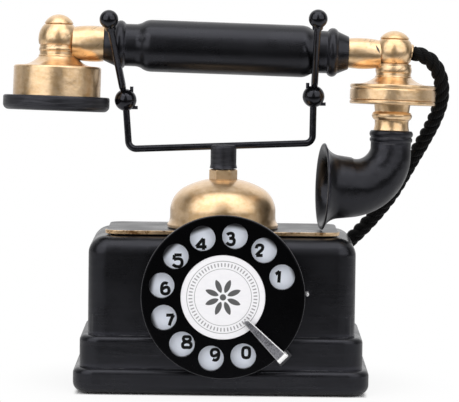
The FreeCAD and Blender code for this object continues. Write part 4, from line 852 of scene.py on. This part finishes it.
def softened(node, width):
    """A merged copy of a CAD node with rounded edges, which stands for it."""
    work = bmesh.new()
    work.from_mesh(frame["nodes"][node].data)
    bmesh.ops.remove_doubles(work, verts=work.verts, dist=MERGE_DISTANCE)
    bmesh.ops.dissolve_limit(work, angle_limit=FLAT_ANGLE, verts=work.verts, edges=work.edges)
    if node in BROADER:
        turn, share = BROADER[node]
        middle = sum((corner.co for corner in work.verts), Vector()) / len(work.verts)
        across = Matrix.Translation(middle) @ Matrix.Rotation(math.radians(turn), 4, "Y")
        bmesh.ops.scale(work, vec=(1, 1, share), space=across.inverted(), verts=work.verts)
    sharp = [edge for edge in work.edges if is_sharp(edge)]
    bmesh.ops.bevel(
        work, geom=sharp, offset=width * MM, offset_type="OFFSET", segments=EDGE_SEGMENTS, profile=0.5,
        affect="EDGES", clamp_overlap=True, material=-1,
    )
    mesh = smooth_mesh(work, node + "_soft")
    mesh.materials.clear()
    mesh.set_sharp_from_angle(angle=SHARP_ANGLE)
    piece = new_piece(node + "_soft", mesh, node_body[node])
    piece.modifiers.new("even_normals", "WEIGHTED_NORMAL").keep_sharp = True
    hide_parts(node)
    return piece


soft = {node: softened(node, width) for node, width in SOFT_EDGES.items()}
soft_faces = sum(len(piece.data.polygons) for piece in soft.values())
print("softened pieces:", len(soft), "with", soft_faces, "faces")

# %% [markdown]
# Now each piece gets its finish. Most follow the record's material slots. The cradle's wire and balls are
# glossier than the case, its post and the ear cap are dustier, the horn is lumpier, and the gold of the
# arms was brushed sideways, round the handle's axis.

# %% Hand out the finishes
SLOT_FINISH = {
    "case_black": case_black, "gilt": gilt_upright, "handle_black": handle_black,
    "wheel_black": wheel_black, "number_white": enamel, "card_white": card_print, "steel": steel,
    "spring_steel": spring_steel, "works_brass": works_brass, "winding": winding, "rubber_black": rubber,
    "board": board, "felt": felt, "cord_black": rubber, "wax_paper": waxed_card,
}
OWN_FINISH = {
    "cradle_frame": wire_black, "left_yoke": wire_black, "right_yoke": wire_black,
    "yoke_tips": wire_black, "cradle_balls": wire_black, "ball_pins": wire_black,
    "cradle_post": dusty_black, "ear_cap": dusty_black, "mouth_horn": horn_black,
    "horn_collar": horn_black, "lid_trim": gilt_worn, "receiver_arm": gilt_sideways,
    "handset_gland": gilt_sideways, "transmitter_arm": gilt_leaf_marked, "gong": gilt_smooth,
    "gong_nut": gilt_smooth, "index_stud": bright_steel, "finger_stop": stop_steel(),
}

for node, holder in frame["nodes"].items():
    finish = OWN_FINISH.get(node, SLOT_FINISH[node_slot[node]])
    holder.data.materials.clear()
    holder.data.materials.append(finish)
    if node in soft:
        soft[node].data.materials.append(finish)
print("finishes on", len(frame["nodes"]), "nodes")

# %% [markdown]
# Under the ball of each arm the neck is ringed, as turned brass is. The rings are only trim, a fraction of
# a millimetre proud, so they are drawn here: a flat oval is spun once round the arm's axis, and the whole
# set is then tilted the way the handset lies in its cradle.

# %% Rings on the necks of the handset
ARM_X = 86.8
HANDSET_REST = Vector((0.8, -4, 175.3)) * MM
HANDSET_TILT = math.radians(1.4)
HANDSET_ROLL = math.radians(-3)
RING_PROUD = 0.35 * MM
RING_DEPTH = 1.2 * MM
RING_SIDES = 24
RING_STEPS = 96
# The arm, height, radius and half the width of each ring, in millimetres.
NECK_RINGS = [
    (-ARM_X, -3.6, 9.5, 1.7), (-ARM_X, -7.1, 9.7, 0.9), (ARM_X, -7.9, 9.0, 2.6), (ARM_X, -11.6, 9.1, 0.8),
]

stand_up = Matrix.Rotation(math.radians(90), 4, "X")
ring_work = bmesh.new()
for arm_x, height, radius, half in NECK_RINGS:
    middle = Vector((arm_x, 0, height)) * MM
    section = bmesh.ops.create_circle(ring_work, segments=RING_SIDES, radius=1)["verts"]
    bmesh.ops.scale(ring_work, vec=(RING_DEPTH, half * MM, 1), verts=section)
    bmesh.ops.rotate(ring_work, matrix=stand_up, verts=section)
    outwards = Vector((radius * MM + RING_PROUD - RING_DEPTH, 0, 0))
    bmesh.ops.translate(ring_work, vec=middle + outwards, verts=section)
    edges = edges_round(section)
    bmesh.ops.spin(
        ring_work, geom=edges, cent=middle, axis=(0, 0, 1), angle=math.tau, steps=RING_STEPS,
        use_merge=True,
    )
bmesh.ops.recalc_face_normals(ring_work, faces=ring_work.faces)
sort_faces(ring_work)
ring_mesh = smooth_mesh(ring_work, "neck_rings")
lean = Matrix.Rotation(HANDSET_TILT, 4, "Y") @ Matrix.Rotation(HANDSET_ROLL, 4, "X")
ring_mesh.transform(Matrix.Translation(HANDSET_REST) @ lean)
ring_mesh.materials.append(gilt_sideways)
neck_rings = new_piece("neck_rings", ring_mesh, "handset")
print("neck rings with", len(ring_mesh.polygons), "faces")

# %% [markdown]
# The figures on the number plate are brush-lettered: heavy black strokes with round ends, not quite evenly
# spaced. Each is drawn with one to three thick curves on a small grid, made a mesh, pressed flat and set
# upright on the plate just under its finger hole. A font would be quicker but gives thin, even printed
# figures.

# %% Figures on the number plate
FIGURE_HEIGHT = 5.2
FIGURE_WIDTH = 6.3
FIGURE_CIRCLE = 29.5 * MM
FIRST_FIGURE = 22.4
FIGURE_STEP = 30
STROKE_RADIUS = 0.8
STROKE_STEPS = 8
STROKE_ROUNDNESS = 3
FIGURE_RELIEF = 0.05
PLATE_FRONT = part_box("number_plate")[0].y

# Corners of the strokes, on a grid about 0.6 wide and 1 high.
FIGURES = {
    "1": [[(0.04, 0.76), (0.2, 0.86), (0.35, 1.06)], [(0.35, 1.06), (0.33, 0.5), (0.3, -0.06)]],
    "2": [[(0.06, 0.74), (0.08, 1.06), (0.56, 1.08), (0.58, 0.66), (0.32, 0.4), (0.06, 0.06)],
          [(0.06, 0.05), (0.3, 0.05), (0.58, 0.06)]],
    "3": [[(0.06, 0.9), (0.22, 1.08), (0.58, 1.02), (0.54, 0.56), (0.24, 0.55)],
          [(0.24, 0.55), (0.66, 0.6), (0.62, -0.04), (0.2, -0.08), (0.03, 0.14)]],
    "4": [[(0.46, 1.06), (0.18, 0.66), (-0.1, 0.26)], [(-0.1, 0.26), (0.3, 0.26), (0.72, 0.26)],
          [(0.48, 1.06), (0.48, 0.5), (0.48, -0.04)]],
    "5": [[(0.66, 1.04), (0.36, 1.04), (0.08, 1.04)], [(0.08, 1.04), (0.06, 0.8), (0.04, 0.58)],
          [(0.04, 0.58), (0.3, 0.72), (0.72, 0.6), (0.68, -0.08), (0.18, -0.12), (-0.04, 0.12)]],
    "6": [[(0.5, 0.94), (0.26, 1.08), (0.02, 0.8), (0.0, 0.06), (0.3, -0.1), (0.62, 0.04), (0.6, 0.56),
           (0.3, 0.64), (0.08, 0.4)]],
    "7": [[(0.0, 0.97), (0.3, 0.97), (0.6, 1.0)], [(0.6, 1.0), (0.36, 0.56), (0.26, -0.04)]],
    "8": [[(0.3, 0.54), (0.0, 0.62), (0.04, 1.04), (0.3, 1.02), (0.56, 1.04), (0.6, 0.62), (0.3, 0.54)],
          [(0.3, 0.54), (-0.06, 0.46), (-0.02, -0.06), (0.3, -0.01), (0.62, -0.06), (0.66, 0.46),
           (0.3, 0.54)]],
    "9": [[(0.1, 0.06), (0.34, -0.08), (0.58, 0.2), (0.6, 0.94), (0.3, 1.1), (-0.02, 0.96), (0.0, 0.44),
           (0.3, 0.36), (0.52, 0.6)]],
    "0": [[(0.3, 1.0), (0.1, 1.0), (0.02, 0.72), (0.02, 0.28), (0.1, 0.0), (0.5, 0.0), (0.58, 0.28),
           (0.58, 0.72), (0.5, 1.0), (0.3, 1.0)]],
}
FIGURE_ORDER = "1234567890"
FIGURE_MIDDLE = Vector((0.3 * FIGURE_WIDTH, 0.5 * FIGURE_HEIGHT, 0))

# How far some figures sit off their places, across and up, in millimetres.
FIGURE_NUDGE = {
    "1": (0.8, -0.9), "3": (-0.7, 0), "4": (0, -0.9), "7": (0.6, -1.0), "9": (0.3, -0.5), "0": (0.8, -1.1),
}


def figure_mesh(strokes):
    """A figure in millimetres as a mesh of thick strokes, lying in the XY plane."""
    line = bpy.data.curves.new("figure", "CURVE")
    line.dimensions = "3D"
    line.resolution_u = STROKE_STEPS
    line.bevel_depth = STROKE_RADIUS
    line.bevel_resolution = STROKE_ROUNDNESS
    line.use_fill_caps = True
    for stroke in strokes:
        add_spline(line, [(x * FIGURE_WIDTH, y * FIGURE_HEIGHT, 0) for x, y in stroke])
    return mesh_of(line)


def figure_ink():
    """The black paint of the figures."""
    finish = Finish("figure_ink")
    brushed = finish.noise(finish.place(), (0.8, 0.8, 0.8), detail=3)
    finish.shade({
        "Base Color": finish.mix(brushed, grey(0.002), grey(0.008)),
        "Roughness": 0.4 + brushed * 0.2,
        "Specular IOR Level": 0.15,
    })
    return finish.material


figure_work = bmesh.new()
flatten = Matrix.Diagonal((MM, MM, FIGURE_RELIEF / STROKE_RADIUS * MM, 1))
for i, figure in enumerate(FIGURE_ORDER):
    angle = math.radians(FIRST_FIGURE + FIGURE_STEP * i)
    spot = Vector((DIAL_X * MM, PLATE_FRONT, DIAL_Z * MM))
    spot += Vector((math.cos(angle), 0, math.sin(angle))) * FIGURE_CIRCLE
    aside, higher = FIGURE_NUDGE.get(figure, (0, 0))
    spot += Vector((aside, 0, higher)) * MM
    mesh = figure_mesh(FIGURES[figure])
    mesh.transform(Matrix.Translation(spot) @ stand_up @ flatten @ Matrix.Translation(-FIGURE_MIDDLE))
    figure_work.from_mesh(mesh)
    bpy.data.meshes.remove(mesh)
figure_total = smooth_mesh(figure_work, "dial_figures")
figure_total.materials.append(figure_ink())
figures = new_piece("dial_figures", figure_total, "base")
print("figures with", len(figure_total.polygons), "faces")

# %% [markdown]
# The telephone stands on a plain white floor before a white backdrop. Both show as white to the camera, and
# metal sees that white behind it, but the room on the camera's side stays dark in reflections, with the
# floor there, so that the black front of the case stays black. The floor keeps the soft shadow round the
# case and the dark gap under it.

# %% Floor and room
FLOOR_SIZE = 4.0
FRONT_DIM = 0.15
BACK_BRIGHT = 1.0
CEILING_BRIGHT = 0.9
WING_SHARE = 0.45
ROOM_FILL = 0.36
SHADOW_SHARE = 0.15
SHADOW_REACH = (0.06, 0.13)
DARK_FLOOR = (0.1, 0.4)
BACKDROP_SPAN = (0.12, 0.34)
CEILING_SPAN = (0.7, 0.95)
WING_SPAN = (0.3, 0.85)
UNDER_EDGE = 3 * MM
FOOT_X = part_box("housing")[1].x
FOOT_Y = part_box("housing")[1].y

floor_work = bmesh.new()
bmesh.ops.create_grid(floor_work, x_segments=1, y_segments=1, size=FLOOR_SIZE)
floor_mesh = smooth_mesh(floor_work, "floor")
floor = new_piece("floor", floor_mesh, None)


def floor_white():
    """White to the camera, with the shadow, and dark in reflections on the camera's side."""
    finish = Finish("floor_white")
    across, ahead, up = finish.split(finish.place())
    seen, mirrored = finish.rays("Is Camera Ray", "Is Glossy Ray")
    near_camera = finish.between(0 - ahead, *DARK_FLOOR)
    distance = (across * across + ahead * ahead) ** 0.5
    under_x = finish.line(across, 0, FOOT_X - UNDER_EDGE, UNDER_EDGE)
    under_y = finish.line(ahead, 0, FOOT_Y - UNDER_EDGE, UNDER_EDGE)
    under = under_x * under_y
    share = (1 - SHADOW_SHARE + SHADOW_SHARE * finish.between(distance, *SHADOW_REACH)) * (1 - under)
    finish.shade({
        "Base Color": finish.mix(mirrored * near_camera, grey(0.9), grey(0.04)),
        "Roughness": 0.9,
        "Specular IOR Level": 0.0,
    })
    glow = finish.node("ShaderNodeEmission", None, {"Strength": 1.0})
    lit = Wire(finish, finish.shader.outputs[0])
    white = finish.node("ShaderNodeMixShader", None, {0: seen * share, 1: lit, 2: glow})
    finish.tree.links.new(white.socket, finish.tree.nodes["Material Output"].inputs["Surface"])
    return finish.material


floor_mesh.materials.append(floor_white())

world = bpy.data.worlds.new("white_room")
scene.world = world
world.use_nodes = True
room = Tree(world.node_tree, "Background")
sideways, backwards, upwards = room.split(room.node("ShaderNodeTexCoord", output="Generated"))
camera_ray, shiny_ray, through_ray = room.rays("Is Camera Ray", "Is Glossy Ray", "Is Transmission Ray")
wings = room.between(abs(sideways), *WING_SPAN, 1.0, WING_SHARE)
backdrop = room.between(backwards, *BACKDROP_SPAN, FRONT_DIM, BACK_BRIGHT) * wings
ceiling = room.between(upwards, *CEILING_SPAN, 0.0, CEILING_BRIGHT)
mirrored = shiny_ray.math("MAXIMUM", through_ray)
unseen = mirrored * backdrop.math("MAXIMUM", ceiling) + (1 - mirrored) * ROOM_FILL
room.shade({"Color": (1, 1, 1, 1), "Strength": camera_ray + (1 - camera_ray) * unseen})
print("floor and room made")

# %% [markdown]
# Two large soft boxes stand in front, one on each side of the camera, and a third hangs over it. Round gold
# forms show the boxes as broad pale areas, with a dark patch between them where the camera stands, and a
# dark band at the side before the white of the backdrop. Large boxes at a low level give that creamy look;
# small bright lamps would not.

# %% Lamps
LIGHT_TARGET = Vector((0, 0, 100)) * MM
LIGHT_DISTANCE = 1.4


def soft_box(name, turn, rise, width, height, level):
    """A rectangular lamp at a turn and a rise, seen from the telephone, at a level of white."""
    data = bpy.data.lights.new(name, "AREA")
    data.shape = "RECTANGLE"
    data.size = width
    data.size_y = height
    data.energy = level * math.pi * width * height
    lamp = bpy.data.objects.new(name, data)
    scene.collection.objects.link(lamp)
    turn = math.radians(turn)
    rise = math.radians(rise)
    out = Vector((math.sin(turn) * math.cos(rise), -math.cos(turn) * math.cos(rise), math.sin(rise)))
    lamp.location = LIGHT_TARGET + out * LIGHT_DISTANCE
    lamp.rotation_euler = (-out).to_track_quat("-Z", "Y").to_euler()
    return lamp


lamps = [
    soft_box("left_box", turn=-45, rise=28, width=1.5, height=1.5, level=1.5),
    soft_box("right_box", turn=45, rise=30, width=1.5, height=1.4, level=1.25),
    soft_box("top_box", turn=0, rise=72, width=1.6, height=1.1, level=1.1),
]
print("lamps:", [lamp.name for lamp in lamps])
